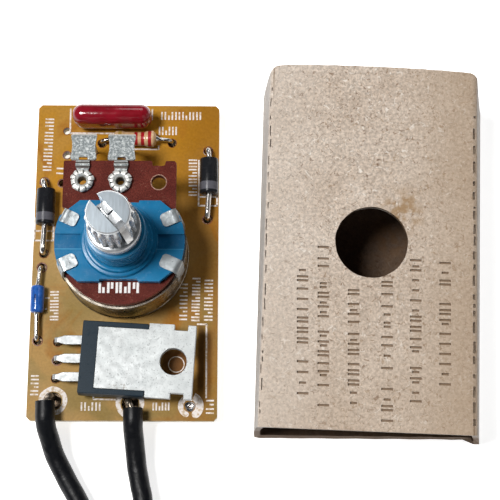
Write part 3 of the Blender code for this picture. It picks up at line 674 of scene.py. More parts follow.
LEAD_RADIUS = 1.35
LEAD_LENGTH = 152.0
TIP_LENGTH = 7.0
COIL = (19.8, -54.0)
COIL_RADIUS = 16.2
COIL_SHRINK = 2.85
CURL_LENGTH, CURL_RADIUS = 16.0, 10.9
STRANDS = 6
LEFT_ROUTE = [(-10.30, -20.35, 4.92), (-10.25, -21.5, 4.98), (-10.20, -22.6, 4.95),
              (-10.06, -23.9, 4.35), (-9.70, -25.2, 3.6), (-9.14, -27.15, 2.75),
              (-8.53, -28.5, 2.35), (-7.83, -29.8, 2.1), (-7.11, -31.15, 2.0),
              (-5.82, -33.3, 1.95), (-3.9, -36.9, 1.9), (-1.2, -41.2, 1.9), (1.6, -46.4, 1.9),
              (3.1, -50.2, 1.9), (3.6, -54.0, 1.9)]
RIGHT_ROUTE = [(1.66, -21.3, 4.95), (1.72, -22.6, 5.0), (1.72, -23.9, 4.6), (1.84, -25.2, 4.05),
               (1.97, -26.5, 3.6), (2.11, -27.85, 3.25), (2.27, -29.2, 3.1), (2.53, -30.5, 3.0),
               (2.79, -31.85, 2.95), (3.12, -33.3, 3.0), (3.45, -37.5, 3.3), (3.58, -41.0, 3.8),
               (3.6, -43.8, 4.2), (3.6, -49.0, 4.8), (3.6, -54.0, 4.9)]
# side, route, bare strands from the board up to the insulation
LEADS = (("left", LEFT_ROUTE, [(-9.75, -19.5, 1.7), (-9.75, -19.5, 4.9), (-10.29, -20.5, 4.93)]),
         ("right", RIGHT_ROUTE, [(0.95, -20.25, 1.7), (0.95, -20.25, 4.9), (1.64, -21.4, 4.94)]))


def coiled(route, length, spacing=0.6):
    """The route, then round the coil, its last stretch curling in off the turns."""
    path = smooth_path(route, spacing)
    level = path[-1].z
    left = length - sum((b - a).length for a, b in zip(path, path[1:]))
    angle, run = pi, 0.0
    radius = last = COIL_RADIUS
    while run < left:
        angle += spacing / radius
        run += spacing
        if run < left - CURL_LENGTH:
            radius = last = COIL_RADIUS - COIL_SHRINK * (angle - pi) / tau
        else:
            share = (run - left + CURL_LENGTH) / CURL_LENGTH
            radius = last + (CURL_RADIUS - last) * share ** 2
        path.append(Vector((COIL[0] + radius * cos(angle), COIL[1] + radius * sin(angle), level)))
    return path


def bundle(path, orbit, radius, turns):
    """Bare strands twisted round a middle one."""
    frames = frames_along(path)
    rods = []
    for k in range(STRANDS):
        line = []
        for i, (point, side, across) in enumerate(frames):
            t = tau * (k / STRANDS + turns * i / (len(frames) - 1))
            line.append(point + side * (orbit * cos(t)) + across * (orbit * sin(t)))
        rods.append(rod(line, radius, 8))
    rods.append(rod(path, radius, 8))
    return joined(*rods)


def make_tie(pvc):
    """A band round both layers of the coil, with its knot."""
    band = flat(rounded([(13.1, 0.1), (16.45, 0.1), (16.45, 6.65), (13.1, 6.65)], 1.5), -1.2, 1.2,
                [rounded([(13.32, 0.32), (16.23, 0.32), (16.23, 6.43), (13.32, 6.43)], 1.3)])
    moved(band, tilt=QUARTER_X)
    knot = moved(block((-1.0, -1.5, -0.9), (1.0, 1.5, 0.9), 0.35, 3), (16.75, 0.0, 3.4))
    return piece("wire_tie", moved(joined(band, knot), (*COIL, 0.0)), pvc, stands_for=["lead_tie"])


def make_leads(looks):
    pvc = Look("black_pvc", (0.0035, 0.0042, 0.0062), 0.34, specular=0.26)
    pvc.wear(1.2, 0.34, 0.5)
    pvc.lumps(0.28, 0.08, 0.55, 3, warp=0.5)
    pvc.lumps(0.5, 0.45, 2.6, 3, warp=0.4)
    tie = make_tie(pvc)
    for side, route, strands in LEADS:
        path = coiled(route, LEAD_LENGTH - TIP_LENGTH)
        points = [((at.x + OX) * MM, (at.y + OY) * MM, at.z * MM) for at in path]
        curve = bpy.data.curves.new(f"lead_{side}", "CURVE")
        curve.dimensions = "3D"
        curve.bevel_depth = LEAD_RADIUS * MM
        curve.bevel_resolution = 5
        curve.use_fill_caps = True
        spline = curve.splines.new("POLY")
        spline.points.add(len(points) - 1)
        for point, at in zip(spline.points, points):
            point.co = (*at, 1.0)
        curve.materials.append(pvc.mat)
        lead = show(f"lead_{side}", curve)
        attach(lead, "module")
        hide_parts(f"lead_{side}_wire", f"lead_{side}_coil")
        heading = (path[-1] - path[-2]).normalized()
        tip_path = [path[-1] + heading * (TIP_LENGTH * t / 12 - 0.4) for t in range(13)]
        tip = piece(f"lead_{side}_bare_tip", bundle(tip_path, 0.38, 0.21, 1.2), looks["wire"],
                    stands_for=[f"lead_{side}_tip"])
        piece(f"lead_{side}_bare_strands", bundle(bent(strands, 0.6), 0.3, 0.17, 0.8), looks["strand"],
              stands_for=[f"lead_{side}_strands"])


# ---- circuit board ------------------------------------------------------------------------

BOARD_HALF = (13.1, 22.8)
BOARD_CORNER = 0.5
BOARD_UNDERSIDE = 1.5
DIODE_PINS = {"left": ((-11.88, 11.19), (-11.57, 0.70)), "right": ((11.49, 15.96), (11.48, 5.83))}
DIAC_PINS = ((-11.78, -1.32), (-11.97, -11.72))
RESISTOR_PINS = ((6.28, 17.14), (-3.82, 17.05))
CAPACITOR_PINS = {"left": (-5.88, 20.12), "right": (1.62, 20.12)}
PINS = [*reversed(RESISTOR_PINS), *CAPACITOR_PINS.values(), *DIODE_PINS["left"], *DIODE_PINS["right"],
        *DIAC_PINS]
TRIAC_PINS = [(-9.15, -11.9), (-9.15, -14.45), (-9.25, -17.0)]
LUG_PINS = [(-5.34, 15.58), (-0.17, 15.58)]
SPARE_HOLES = [(-8.93, 18.87), (-8.80, 15.24), (-4.06, 13.6), (-9.37, 11.05)]
# holes with their radius
DRILLED = ((PINS + TRIAC_PINS, 0.6), (LUG_PINS, 0.8), (SPARE_HOLES, 0.5))
PADS = [(-9.5, -20.1), (1.1, -20.45)]
PAD_HOLE = 1.2
BARE_PAD = (9.3, -20.75)
PRINT = (TOP - 0.02, TOP + 0.022)
PRINT_WIDTH = 0.23
# straight printed lines, as x, y, x, y
PRINT_LINES = ((-8.5, 22.3, -8.46, 18.5), (-8.5, 18.54, -0.9, 18.54), (3.35, 22.3, 3.35, 20.6),
               (-1.2, 16.16, 4.35, 16.18), (4.35, 16.1, 4.35, 16.75), (10.2, 14.6, 10.23, 7.75),
               (10.2, 7.79, 12.95, 7.79), (10.2, 9.09, 12.95, 9.09), (12.85, 9.9, 12.85, 7.7),
               (-12.98, 6.0, -12.98, 2.5), (-10.35, 9.6, -10.33, 2.5), (-13.0, 2.57, -10.3, 2.57),
               (-13.0, 3.96, -10.3, 3.96), (-11.1, -5.7, -10.5, -5.7), (-11.1, -7.27, -10.8, -7.27),
               (10.2, -9.35, 11.6, -9.35), (11.52, -9.3, 11.58, -19.65), (-3.95, -19.1, -3.95, -19.85),
               (-4.0, -19.84, -0.7, -19.88))
# tally marks that stand in for lettering: x, y, x, y, how many pairs, how tall
PRINT_ROWS = ((-11.6, 12.7, -11.45, 20.9, 8, 1.25), (4.5, 21.25, 10.6, 21.25, 6, 1.2),
              (4.2, 18.96, 7.1, 18.96, 3, 1.25), (9.38, 9.1, 9.34, 14.8, 6, 1.2),
              (-9.75, 12.1, -9.7, 13.6, 1, 1.0), (-9.75, -9.0, -9.85, -4.6, 5, 1.2),
              (-12.12, -19.5, -12.1, -16.4, 3, 1.1), (-5.8, -20.85, -2.8, -20.85, 3, 1.15),
              (4.1, -20.82, 6.65, -20.82, 3, 1.1), (8.25, -8.95, 8.3, -3.4, 5, 1.1),
              (9.95, -9.05, 10.05, -2.6, 7, 1.15), (11.75, -9.0, 11.8, -2.85, 6, 1.2),
              (12.12, -22.0, 12.1, -19.7, 2, 1.1))


def make_board(looks):
    (x, y), c = BOARD_HALF, BOARD_CORNER
    outline = [(x, c - y), (x, y - c), (x - c, y), (c - x, y), (-x, y - c), (-x, c - y),
               (c - x, -y), (x - c, -y)]
    holes = [circle(pin, radius, 24) for pins, radius in DRILLED for pin in pins]
    holes += [circle(pad, PAD_HOLE, 36) for pad in PADS]
    piece("board", flat(outline, BOARD_UNDERSIDE, TOP, holes), looks["laminate"],
          stands_for=["circuit_board"], bevel=0.07, bevel_angle=50)


def stroke(x1, y1, x2, y2):
    """A printed line between two points."""
    length = hypot(x2 - x1, y2 - y1)
    bar = block((-length / 2, -PRINT_WIDTH / 2, PRINT[0]), (length / 2, PRINT_WIDTH / 2, PRINT[1]))
    return moved(bar, ((x1 + x2) / 2, (y1 + y2) / 2, 0.0), degrees(atan2(y2 - y1, x2 - x1)))


def tally(x1, y1, x2, y2, count, tall):
    """A row of plain bars in pairs across a line."""
    length = hypot(x2 - x1, y2 - y1)
    dx, dy = (x2 - x1) / length, (y2 - y1) / length
    reach = ((-0.5, 0.5), (-0.5, 0.05), (-0.5, 0.5), (-0.05, 0.5), (-0.3, 0.5))
    bars = []
    for i in range(2 * count):
        pair = 0.24 if i % 2 else -0.24
        run = (i // 2 + 0.5 + pair) * length / count
        ends = [(x1 + run * dx - s * tall * dy, y1 + run * dy + s * tall * dx)
                for s in reach[(i * i + i) % 5]]
        bars.append(stroke(*ends[0], *ends[1]))
    return bars


def pad_ring(pad):
    """A printed ring, slightly out of round, about a wire's pad."""
    outline = []
    for i in range(48):
        t = tau * i / 48
        outline.append((pad[0] + (1.98 + 0.05 * sin(3 * t)) * cos(t),
                        pad[1] + (1.98 + 0.05 * sin(5 * t)) * sin(t)))
    return flat(outline, *PRINT, [circle(pad, 1.33, 36)])


def pad_lobe(start, end, outer, inner):
    """Part of a printed ring about the bare pad, with one round end."""
    middle_radius, turn = (inner + outer) / 2, radians(end)
    knob = (BARE_PAD[0] + middle_radius * cos(turn), BARE_PAD[1] + middle_radius * sin(turn))
    half_turn = 180 if end > start else -180
    outline = arc(BARE_PAD, outer, start, end, 24)
    outline += arc(knob, (outer - inner) / 2, end, end + half_turn, 12)[1:-1]
    outline += arc(BARE_PAD, inner, end, start, 20)
    return flat(outline, *PRINT)


def make_print(looks):
    """Pale printed outlines, pad rings and plain tally marks on the board."""
    look = Look("board_print", (0.60, 0.46, 0.30), 0.55, specular=0.2)
    look.layer(look.tones(0.4, 3, (0.36, 0.0), (0.52, 1.0)), (0.86, 0.80, 0.76))
    look.lumps(0.2, 0.02, 0.3, 2)
    parts = [stroke(*line) for line in PRINT_LINES]
    parts += [pad_ring(pad) for pad in PADS]
    parts += [pad_lobe(112, 248, 1.6, 0.85), pad_lobe(66, -52, 1.95, 0.85)]
    spot = (7.4, -15.0)
    parts.append(flat(circle(spot, 1.15, 36), PRINT[0], PRINT[1] - 0.01, [circle(spot, 1.02, 36)]))
    for row in PRINT_ROWS:
        parts += tally(*row)
    piece("board_print", joined(*parts), look)
    blob = lathe([(0.0, TOP - 0.3), (0.7, TOP - 0.3), (0.72, TOP), (0.6, TOP + 0.12), (0.42, TOP + 0.24),
                  (0.28, TOP + 0.2), (0.14, TOP + 0.02), (0.0, TOP - 0.02)], 36)
    for v in blob.verts:
        v.co.x *= 1.0 + 0.12 * sin(3 * atan2(v.co.y, v.co.x))
    piece("bare_pad_solder", moved(blob, (BARE_PAD[0] + 0.05, BARE_PAD[1] - 0.05, 0.0)), looks["tin"])


def make_hole_rims():
    """A dark rim round each hole and down its wall: painted shade inside the hole, and a dark edge on the
    face round it.
    """
    look = Look("dark_rim_and_hole_shade", (0.14, 0.035, 0.008), 0.4)
    look.cloud(0.4, 3, (0.06, 0.014, 0.004), (0.26, 0.07, 0.012))
    look.lumps(0.3, 0.03, 0.3, 2)
    rims = []
    for holes, inner in DRILLED:
        for x, y in holes:
            wide = inner + 0.13 + 0.05 * sin(3 * x + y)
            profile = [(inner - 0.01, TOP - 0.5), (inner - 0.01, TOP + 0.01), (inner + 0.04, TOP + 0.03),
                       (wide, TOP + 0.005), (wide, TOP - 0.02), (inner + 0.03, TOP - 0.5)]
            rims.append(moved(lathe(profile, 32, closed=True), (x + 0.03, y - 0.03, 0.0)))
    piece("hole_rims", joined(*rims), look)


# ---- two-legged parts ---------------------------------------------------------------------

PIN_END = 1.7
LEG_BEND = 0.9
# half length and radius
DIODE_SIZE = (2.6, 1.3)
DIAC_SIZE = (1.92, 0.95)


def leg(name, start, pin, radius, looks, bead=0.0):
    """A leg from a body's end, over to its hole and down; bead thickens it at the body."""
    path = bent([start, (*pin, start[2]), (*pin, PIN_END)], LEG_BEND, 8)

    def thick(share):
        return radius * (1.0 + bead * max(0.0, 1.0 - share * 7.0) ** 2)
    piece(name, rod(evenly(path, 0.16), thick, 18), looks["wire"], stands_for=[name])


def legs_on_y(part, centre, reach, pins, radius, looks, bead=0.0):
    for label, sign, pin in zip(("upper", "lower"), (1, -1), pins):
        start = (centre[0], centre[1] + sign * reach, centre[2])
        leg(f"{part}_leg_{label}", start, pin, radius, looks, bead)


def make_diode(side, centre, looks):
    half, radius = DIODE_SIZE
    profile = [(0.0, -half - 0.02), (0.5, -half - 0.02), (0.52, -half), (radius - 0.22, -half),
               (radius - 0.06, -half + 0.06), (radius, -half + 0.22), (radius + 0.012, 0.0)]
    profile += [(r, -z) for r, z in reversed(profile[:-1])]
    look = epoxy_look(f"diode_{side}", (0.014, 0.015, 0.018), 0.32)
    look.paint((0.014, 0.015, 0.018))
    cathode = look.band(look.along("Y"), centre[1] - half + 0.45, centre[1] - half + 1.6, 0.05)
    look.layer(look.times(cathode, look.tones(0.35, 3, (0.3, 0.75), (0.5, 1.0))), (0.11, 0.11, 0.13))
    body = moved(lathe(profile, 48), centre, tilt=BACK_QUARTER_X)
    piece(f"diode_{side}_shell", body, look, stands_for=[f"diode_{side}_body"])
    legs_on_y(f"diode_{side}", centre, half - 0.1, DIODE_PINS[side], 0.38, looks)


def make_diac(looks):
    centre, round_end = (-12.05, -6.07, TOP + 1.02), 0.42
    half, radius = DIAC_SIZE
    profile = [(0.0, -half)]
    for i in range(9):
        t = radians(90 * i / 8)
        profile.append((radius - round_end + round_end * sin(t), -half + round_end - round_end * cos(t)))
    profile += [(r, -z) for r, z in reversed(profile)]
    look = Look("blue_glass", (0.02, 0.16, 0.62), 0.12, specular=0.3, coat=0.25, coat_rough=0.05)
    look.cloud(0.5, 3, (0.012, 0.075, 0.34), (0.03, 0.14, 0.50))
    x, y, _ = centre
    mark = look.window((x - 0.32, x - 0.02), (y - 0.55, y + 0.55), 0.06, 0.06)
    look.layer(mark, (0.01, 0.025, 0.12), 0.85)
    look.lumps(0.12, 0.05, 0.7, 2)
    body = moved(lathe(profile, 40), centre, tilt=BACK_QUARTER_X)
    piece("diac_bead", body, look, stands_for=["diac_body"])
    legs_on_y("diac", centre, half - 0.1, DIAC_PINS, 0.28, looks, 0.5)


def resistor_profile(half, big, small):
    """Two round bulbs with a thinner barrel between them."""
    profile = []
    for i in range(41):
        t = -half + 2 * half * i / 40
        edge = half - abs(t)
        if edge < 0.5:
            r = big * sqrt(max(0.0, 1 - ((0.5 - edge) / 0.5) ** 2)) * 0.72 + big * 0.28 * min(1, edge / 0.5)
        else:
            dip = min(1.0, max(0.0, (edge - 1.35) / 0.45))
            r = big - (big - small) * dip * dip * (3 - 2 * dip)
        profile.append((max(r, 0.0), t))
    profile[0], profile[-1] = (0.0, -half), (0.0, half)
    return profile


def make_resistor(looks):
    centre, half = (1.05, 17.35, TOP + 1.22), 3.15
    look = Look("resistor_paint", (0.55, 0.36, 0.20), 0.28, coat=0.4, coat_rough=0.15)
    look.cloud(0.4, 3, (0.58, 0.37, 0.19), (0.72, 0.50, 0.29))
    x = look.along("X")
    red, gold = (0.42, 0.012, 0.02), (0.42, 0.27, 0.06)
    for at, color in ((0.19, red), (1.12, red), (2.13, red), (-2.1, gold)):
        look.layer(look.band(x, centre[0] + at - 0.24, centre[0] + at + 0.24, 0.035), color)
    look.lumps(0.15, 0.05, 0.6, 3)
    body = moved(lathe(resistor_profile(half, 1.15, 0.99), 48), centre, tilt=QUARTER_Y)
    piece("resistor_shell", body, look, stands_for=["resistor_body"])
    for label, sign, pin in zip(("right", "left"), (1, -1), RESISTOR_PINS):
        start = (centre[0] + sign * (half - 0.1), centre[1], centre[2])
        leg(f"resistor_leg_{label}", start, pin, 0.28, looks, 0.7)


def make_capacitor(looks):
    length, width, height, standoff = 11.2, 3.0, 4.6, 0.6
    bm = block((-length / 2, -width / 2, 0.0), (length / 2, width / 2, height), 1.46, 8)
    for v in bm.verts:
        swell = 1.0 - 0.05 * (2 * v.co.x / length) ** 2
        v.co.y *= swell
        v.co.z = height / 2 + (v.co.z - height / 2) * swell
    drips = [moved(lathe([(0.0, -0.12), (0.34, -0.12), (0.45, 0.0), (0.8, 0.35), (0.0, 0.5)], 20),
                   (x, 0.0, 0.0)) for x in (-3.75, 3.75)]
    look = Look("dipped_red", (0.26, 0.012, 0.028), 0.18, specular=0.25, coat=0.7, coat_rough=0.08)
    look.cloud(2.5, 3, (0.18, 0.004, 0.009), (0.29, 0.008, 0.020))
    look.lumps(0.35, 0.3, 2.2, 2)
    look.lumps(0.06, 0.05, 0.5, 2)
    piece("capacitor_shell", moved(joined(bm, *drips), (-2.13, 20.12, TOP + standoff)), look,
          stands_for=["capacitor_body"], crease=60)
    for side, pin in CAPACITOR_PINS.items():
        path = evenly([Vector((*pin, TOP + standoff)), Vector((*pin, PIN_END))], 0.2)
        name = f"capacitor_leg_{side}"
        piece(name, rod(path, 0.28, 16), looks["wire"], stands_for=[name])


# ---- triac --------------------------------------------------------------------------------

# spans from the middle of the whole part, tab and case together
TRIAC_WEST, TRIAC_EAST, TRIAC_HALF = -7.8, 7.8, 5.08
TAB_LEVELS = (3.2, 4.5)
CASE_END, WINDOW_WEST, WINDOW_HALF = TRIAC_WEST + 9.1, TRIAC_WEST + 2.25, 4.2
LEG_PITCH = 2.54


def case_ring(inset, z):
    west, half = TRIAC_WEST + inset, TRIAC_HALF - inset
    corners = [(west, -half), (CASE_END, -half), (CASE_END, half), (west, half)]
    return [(x, y, z) for x, y in rounded(corners, 0.18, 3)]


def tab_look():
    look = Look("plated_tab", (0.53, 0.55, 0.56), 0.5, 0.5)
    look.cloud(2.4, 5, (0.50, 0.53, 0.535), (0.56, 0.585, 0.59), warp=0.5)
    look.tint(look.tones(0.24, 4, (0.33, 0.35), (0.425, 1.0), rough=0.75))
    scratches = look.noise(0.5, 2, stretch=(1, 0.08, 1), turn=28)
    look.layer(look.ramp(scratches, (0.66, 0.0), (0.72, 0.35)), (0.62, 0.64, 0.65))
    stain = look.window((-1.2, 1.0), (-19.4, -18.2), 0.4, 0.4)
    look.layer(look.times(stain, look.tones(0.35, 3, (0.52, 0.0), (0.6, 0.8))), (0.25, 0.23, 0.2))
    look.wear(1.1, 0.45, 0.62)
    look.lumps(0.28, 0.04, 0.3, 4)
    look.bump(scratches, 0.1, 0.03)
    return look


def triac_leg_path(row, pin):
    """Flat out of the case, narrowing, then round a bend and down to its hole."""
    turn, level, bend = radians(TRIAC_TURN), TOP + 2.0, 0.45
    near = (TRIAC_WEST + 0.2, row * LEG_PITCH)
    x = TRIAC[0] + near[0] * cos(turn) - near[1] * sin(turn)
    y = TRIAC[1] + near[0] * sin(turn) + near[1] * cos(turn)
    drift, tip = pin[1] - y, pin[0] + 0.02
    path = [((x, y, level), 0.635)]
    path += [((tip + out, y, level), half)
             for out, half in ((1.35, 0.635), (1.2, 0.62), (0.75, 0.47), (0.5, 0.38))]
    for i in range(1, 8):
        t = radians(90 * i / 8)
        path.append(((tip + bend * (1 - sin(t)), y + drift * i / 8, level - bend * (1 - cos(t))), 0.36))
    return path + [((tip, pin[1], level - 0.5), 0.36), ((tip, pin[1], PIN_END), 0.36)]


def make_triac(looks):
    place = (*TRIAC, TOP)
    case = loft([case_ring(*level) for level in ((0.42, 0.12), (0.36, 0.2), (0.0, 1.95), (0.0, 2.2),
                                                 (0.14, 4.3), (0.22, 4.44))])
    window = block((WINDOW_WEST, -WINDOW_HALF - 0.04, 3.14), (TRIAC_EAST, WINDOW_HALF + 0.04, 6.0))
    case = carved(case, ("DIFFERENCE", window))
    piece("triac_shell", moved(case, place, TRIAC_TURN), looks["epoxy"], stands_for=["triac_case"],
          bevel=0.05, bevel_angle=60)
    # half of the tab's outline, from inside the case out to its far edge, past the side notch
    edge, deep = TRIAC_HALF - 0.04, TRIAC_HALF - 0.8
    start, a, b = CASE_END + 0.08, TRIAC_EAST - 2.95, TRIAC_EAST - 1.15
    south = [(WINDOW_WEST + 0.04, -WINDOW_HALF), (start, -WINDOW_HALF), (start, -edge), (a, -edge),
             (a, -deep), (b, -deep), (b, -edge), (TRIAC_EAST, -edge)]
    outline = south + [(x, -y) for x, y in reversed(south)]
    tab = flat(outline, *TAB_LEVELS, [circle((TRIAC_EAST - 2.83, 0.0), 1.81, 48)])
    piece("triac_plate", moved(tab, place, TRIAC_TURN), tab_look(), stands_for=["triac_tab"],
          bevel=0.09, bevel_angle=50)
    for name, row, pin in zip(("triac_leg_gate", "triac_leg_two", "triac_leg_one"), (1, 0, -1), TRIAC_PINS):
        piece(name, strip(triac_leg_path(row, pin), 0.46, (0, 1, 0)), looks["plated"], stands_for=[name],
              bevel=0.07, bevel_angle=40)


# ---- potentiometer ------------------------------------------------------------------------

POT_PLACE = (*POT, TOP)
# from the board's face up
PLATE_LEVELS = (7.4, 8.6)
FLANGE_LEVELS = (8.66, 9.9)
PLATE_RADIUS, FLANGE_RADIUS = 8.48, 8.72
TAB_ANGLES = (24.5, 155.5, 204.5, 335.5)
TAB_LEANS = (0.34, 0.42, 0.36, 0.06)
EYELETS = ((-5.34, 8.54), (-0.17, 8.50))
EMPTY_HOLE = (5.05, 8.46)


def can_tab(angle, lean, dip):
    """A tab that rises from the can's wall and is folded over the moulding, with a round end."""
    half, top = 0.96, 10.1 - dip
    path = [((8.87, 0, 4.6), half), ((8.87, 0, 7.4), half), ((8.87 - lean, 0, 9.55), half)]
    for i in range(1, 7):
        t = radians(90 * i / 6)
        path.append(((8.49 - lean + 0.38 * cos(t), 0, 9.7 + 0.38 * sin(t)), half))
    path += [((8.2 - lean, 0, 10.1), half), ((7.7, 0, top + 0.02), half), ((7.1, 0, top + 0.01), half),
             ((6.75, 0, top), half * 0.99)]
    for i in range(1, 9):
        t = radians(88 * i / 8)
        path.append(((6.75 - 0.55 * sin(t), 0, top), half * 0.45 + half * 0.54 * cos(t)))
    return moved(strip(path, 0.28, (0, 1, 0)), turn=angle)


def make_can():
    look = Look("pressed_steel", (0.50, 0.46, 0.38), 0.24, 1.0)
    look.cloud(1.8, 4, (0.15, 0.13, 0.11), (0.52, 0.48, 0.41), stretch=(1, 1, 0.35))
    look.layer(look.tones(0.5, 4, (0.62, 0.0), (0.72, 0.5), shift=(2, 0, 0)), (0.17, 0.13, 0.10))
    look.wear(1.3, 0.2, 0.36)
    look.lumps(0.2, 0.05, 0.9, 3, stretch=(1, 1, 0.2))
    profile = [(0.0, 0.45), (8.2, 0.45), (8.4, 0.52), (8.5, 0.75), (8.5, 7.3), (8.54, 7.35), (8.81, 7.35),
               (8.85, 7.3), (8.85, 0.98), (8.9, 0.86), (8.98, 0.8), (9.0, 0.68), (8.96, 0.58),
               (8.98, 0.46), (9.0, 0.34), (8.95, 0.2), (8.8, 0.12), (8.6, 0.1), (0.0, 0.1)]
    can = carved(lathe(profile, 120), ("DIFFERENCE", block((-7.1, 6.2, 5.9), (6.6, 12.0, 9.0))),
                 ("UNION", block((-1.2, -8.6, 5.2), (1.2, -7.0, 6.9), 0.15)))
    piece("pot_can_shell", moved(can, POT_PLACE), look, stands_for=["pot_can"])
    tin = tin_look("tab_steel", (0.44, 0.48, 0.50), 0.26, 0.5, 0.7, 0.5, metal=0.7)
    tabs = [can_tab(angle, lean, 0.03 + 0.02 * (k % 2))
            for k, (angle, lean) in enumerate(zip(TAB_ANGLES, TAB_LEANS))]
    piece("pot_can_tabs", moved(joined(*tabs), POT_PLACE), tin, bevel=0.06,
          bevel_angle=50, crease=40)


def plate_outline():
    radius, left, right, top = PLATE_RADIUS, -7.97, 7.4, 11.5
    start = degrees(atan2(sqrt(radius ** 2 - right ** 2), right))
    end = -180.0 - degrees(atan2(sqrt(radius ** 2 - left ** 2), -left))
    shelf = [(left + 0.15, top), (3.95, top), (4.08, top - 0.1), (4.15, top - 0.62), (4.3, top - 0.72),
             (4.7, top - 0.66), (5.2, top - 0.72), (5.72, top - 0.66), (5.86, top - 0.5),
             (5.95, top - 0.08), (6.1, top), (right - 0.25, top), (right, top - 0.25)]
    return shelf + arc((0.0, 0.0), radius, start, end, 110) + [(left, top - 0.15)]


def plate_look():
    look = Look("phenolic_board", (0.14, 0.03, 0.024), 0.5, specular=0.06)
    look.cloud(2.4, 4, (0.088, 0.015, 0.011), (0.135, 0.026, 0.018))
    look.tint(look.tones(0.16, 3, (0.3, 0.6), (0.72, 1.5)))
    flecks = look.tones(0.45, 3, (0.63, 0.0), (0.70, 0.5), warp=1.5, shift=(1, 2, 3))
    look.layer(flecks, (0.28, 0.11, 0.075))
    look.layer(look.step(look.facing(), 0.7, 0.3), (0.30, 0.13, 0.08), 0.5)
    look.wear(1.0, 0.35, 0.5)
    look.lumps(0.2, 0.03, 0.2, 3)
    return look


def make_plate():
    holes = [circle(p, 1.0, 40) for p in (*EYELETS, EMPTY_HOLE)]
    holes.append(circle((0.0, 0.0), 4.2, 64))
    notches = [moved(block((8.42, -1.25, 7.0), (12.0, 1.25, 9.2)), turn=a) for a in TAB_ANGLES]
    plate = flat(plate_outline(), *PLATE_LEVELS, holes)
    plate = carved(plate, ("DIFFERENCE", joined(*notches)))
    piece("pot_plate", moved(plate, POT_PLACE), plate_look(), stands_for=["pot_element_plate"],
          bevel=0.05, bevel_angle=50)
    rim = Look("punched_rim", (0.42, 0.22, 0.15), 0.5)
    rim.paint(rim.tones(0.3, 3, (0.3, (0.22, 0.09, 0.06)), (0.65, (0.58, 0.36, 0.27))))
    rim.lumps(0.3, 0.03, 0.2, 3)
    ring = lathe([(1.0, 8.3), (1.0, 8.64), (1.05, 8.66), (1.12, 8.62), (1.12, 8.3)], 48, closed=True)
    piece("punched_rim", moved(ring, (POT[0] + EMPTY_HOLE[0], POT[1] + EMPTY_HOLE[1], TOP)), rim)
    white = Look("bold_print", (0.86, 0.84, 0.82), 0.5)
    white.paint(white.tones(0.35, 4, (0.3, (0.66, 0.60, 0.57)), (0.48, (0.92, 0.90, 0.88))))
    white.lumps(0.2, 0.02, 0.2, 3)
    full, foot, head = (0, 1), (0, 0.55), (0.4, 1)
    bars = []
    for k, (low, high) in enumerate((full, foot, full, head, full, full, (0, 0.6), full, head, full)):
        x = -2.55 + 1.14 * (k // 2) + 0.5 * (k % 2)
        bars.append(block((x - 0.17, -6.9 + 1.45 * low, 8.59), (x + 0.17, -6.9 + 1.45 * high, 8.63)))
    piece("bold_print", moved(joined(*bars), POT_PLACE), white)


def lug_look():
    look = Look("tinned_lug", (0.30, 0.33, 0.33), 0.5, 0.6)
    look.paint(look.tones(0.32, 5, (0.34, (0.12, 0.14, 0.15)), (0.5, (0.24, 0.265, 0.27)),
                          (0.64, (0.55, 0.58, 0.58)), rough=0.65, warp=0.5))
    # painted highlight: faces that turn away from straight up, on the rims and the sloping bars of the
    # neck, are lightened
    look.layer(look.step(look.facing(), 0.985, 0.85), (0.72, 0.72, 0.69), 0.8)
    y = look.minus(look.along("Y"), POT[1])
    # dark bands across the neck: painted shade in the valleys of the crimp and on its slope down, with some
    # flux there
    crimp_shade_and_flux = look.plus(look.band(y, 10.98, 11.14, 0.03), look.band(y, 10.25, 10.62, 0.04))
    look.layer(look.plus(crimp_shade_and_flux, look.band(y, 11.4, 11.5, 0.03)), (0.045, 0.03, 0.025), 0.88)
    look.wear(0.35, 0.42, 0.6)
    look.lumps(0.4, 0.06, 0.3, 4)
    return look


def lug_opening(centre, half, south, north):
    return rounded([(centre - half, south), (centre + half, south), (centre + half, north),
                    (centre - half, north)], 0.14, 3)


def lug(x, y, centre, wide):
    """A terminal: a ring about its eyelet, a crimped neck, a broad plate, then a leg to the board."""
    neck = ((y + 1.3, 8.83, 0.72), (10.42, 8.83, 0.9), (10.6, 8.88, 0.95), (10.72, 8.98, 0.96),
            (10.84, 9.0, 0.96), (10.94, 8.94, 0.95), (11.04, 8.84, 0.94), (11.12, 8.84, 0.94),
            (11.2, 8.93, 0.92), (11.28, 9.0, 0.92), (11.36, 8.96, 0.9), (11.42, 8.8, 0.9),
            (11.47, 8.55, 0.92), (11.53, 8.38, 1.0), (11.6, 8.3, 1.3))
    plate = ((11.68, 8.28, -0.12), (11.78, 8.275, 0.0), (12.1, 8.275, 0.02), (12.6, 8.275, -0.08),
             (13.1, 8.275, -0.14), (13.7, 8.275, -0.17), (14.2, 8.275, -0.13), (14.75, 8.275, -0.02),
             (15.0, 8.27, 0.02))
    path = [((centre, along, z), half) for along, z, half in neck]
    path += [((centre, along, z), wide + more) for along, z, more in plate]
    for i in range(1, 6):
        t = radians(90 * i / 5)
        half = wide + 0.02 if i < 3 else wide - 0.1
        path.append(((centre, 15.0 + 0.28 * sin(t), 7.99 + 0.28 * cos(t)), half))
    path += [((x, 15.275, z), half)
             for z, half in ((7.2, 1.35), (6.8, 1.0), (0.5, 1.0), (0.4, 0.55), (PIN_END - TOP, 0.55))]
    ring = flat(circle((x, y), 1.5, 48), 8.66, 8.99, [circle((x, y), 1.0, 32)])
    edge = flat(lug_opening(centre, 0.86, 11.56, 12.3), 8.2, 8.58, [lug_opening(centre, 0.6, 11.6, 12.06)])
    return carved(strip(path, 0.34, (1, 0, 0)), ("UNION", ring), ("UNION", edge),
                  ("DIFFERENCE", flat(lug_opening(centre, 0.6, 11.5, 12.06), 7.8, 9.4)))


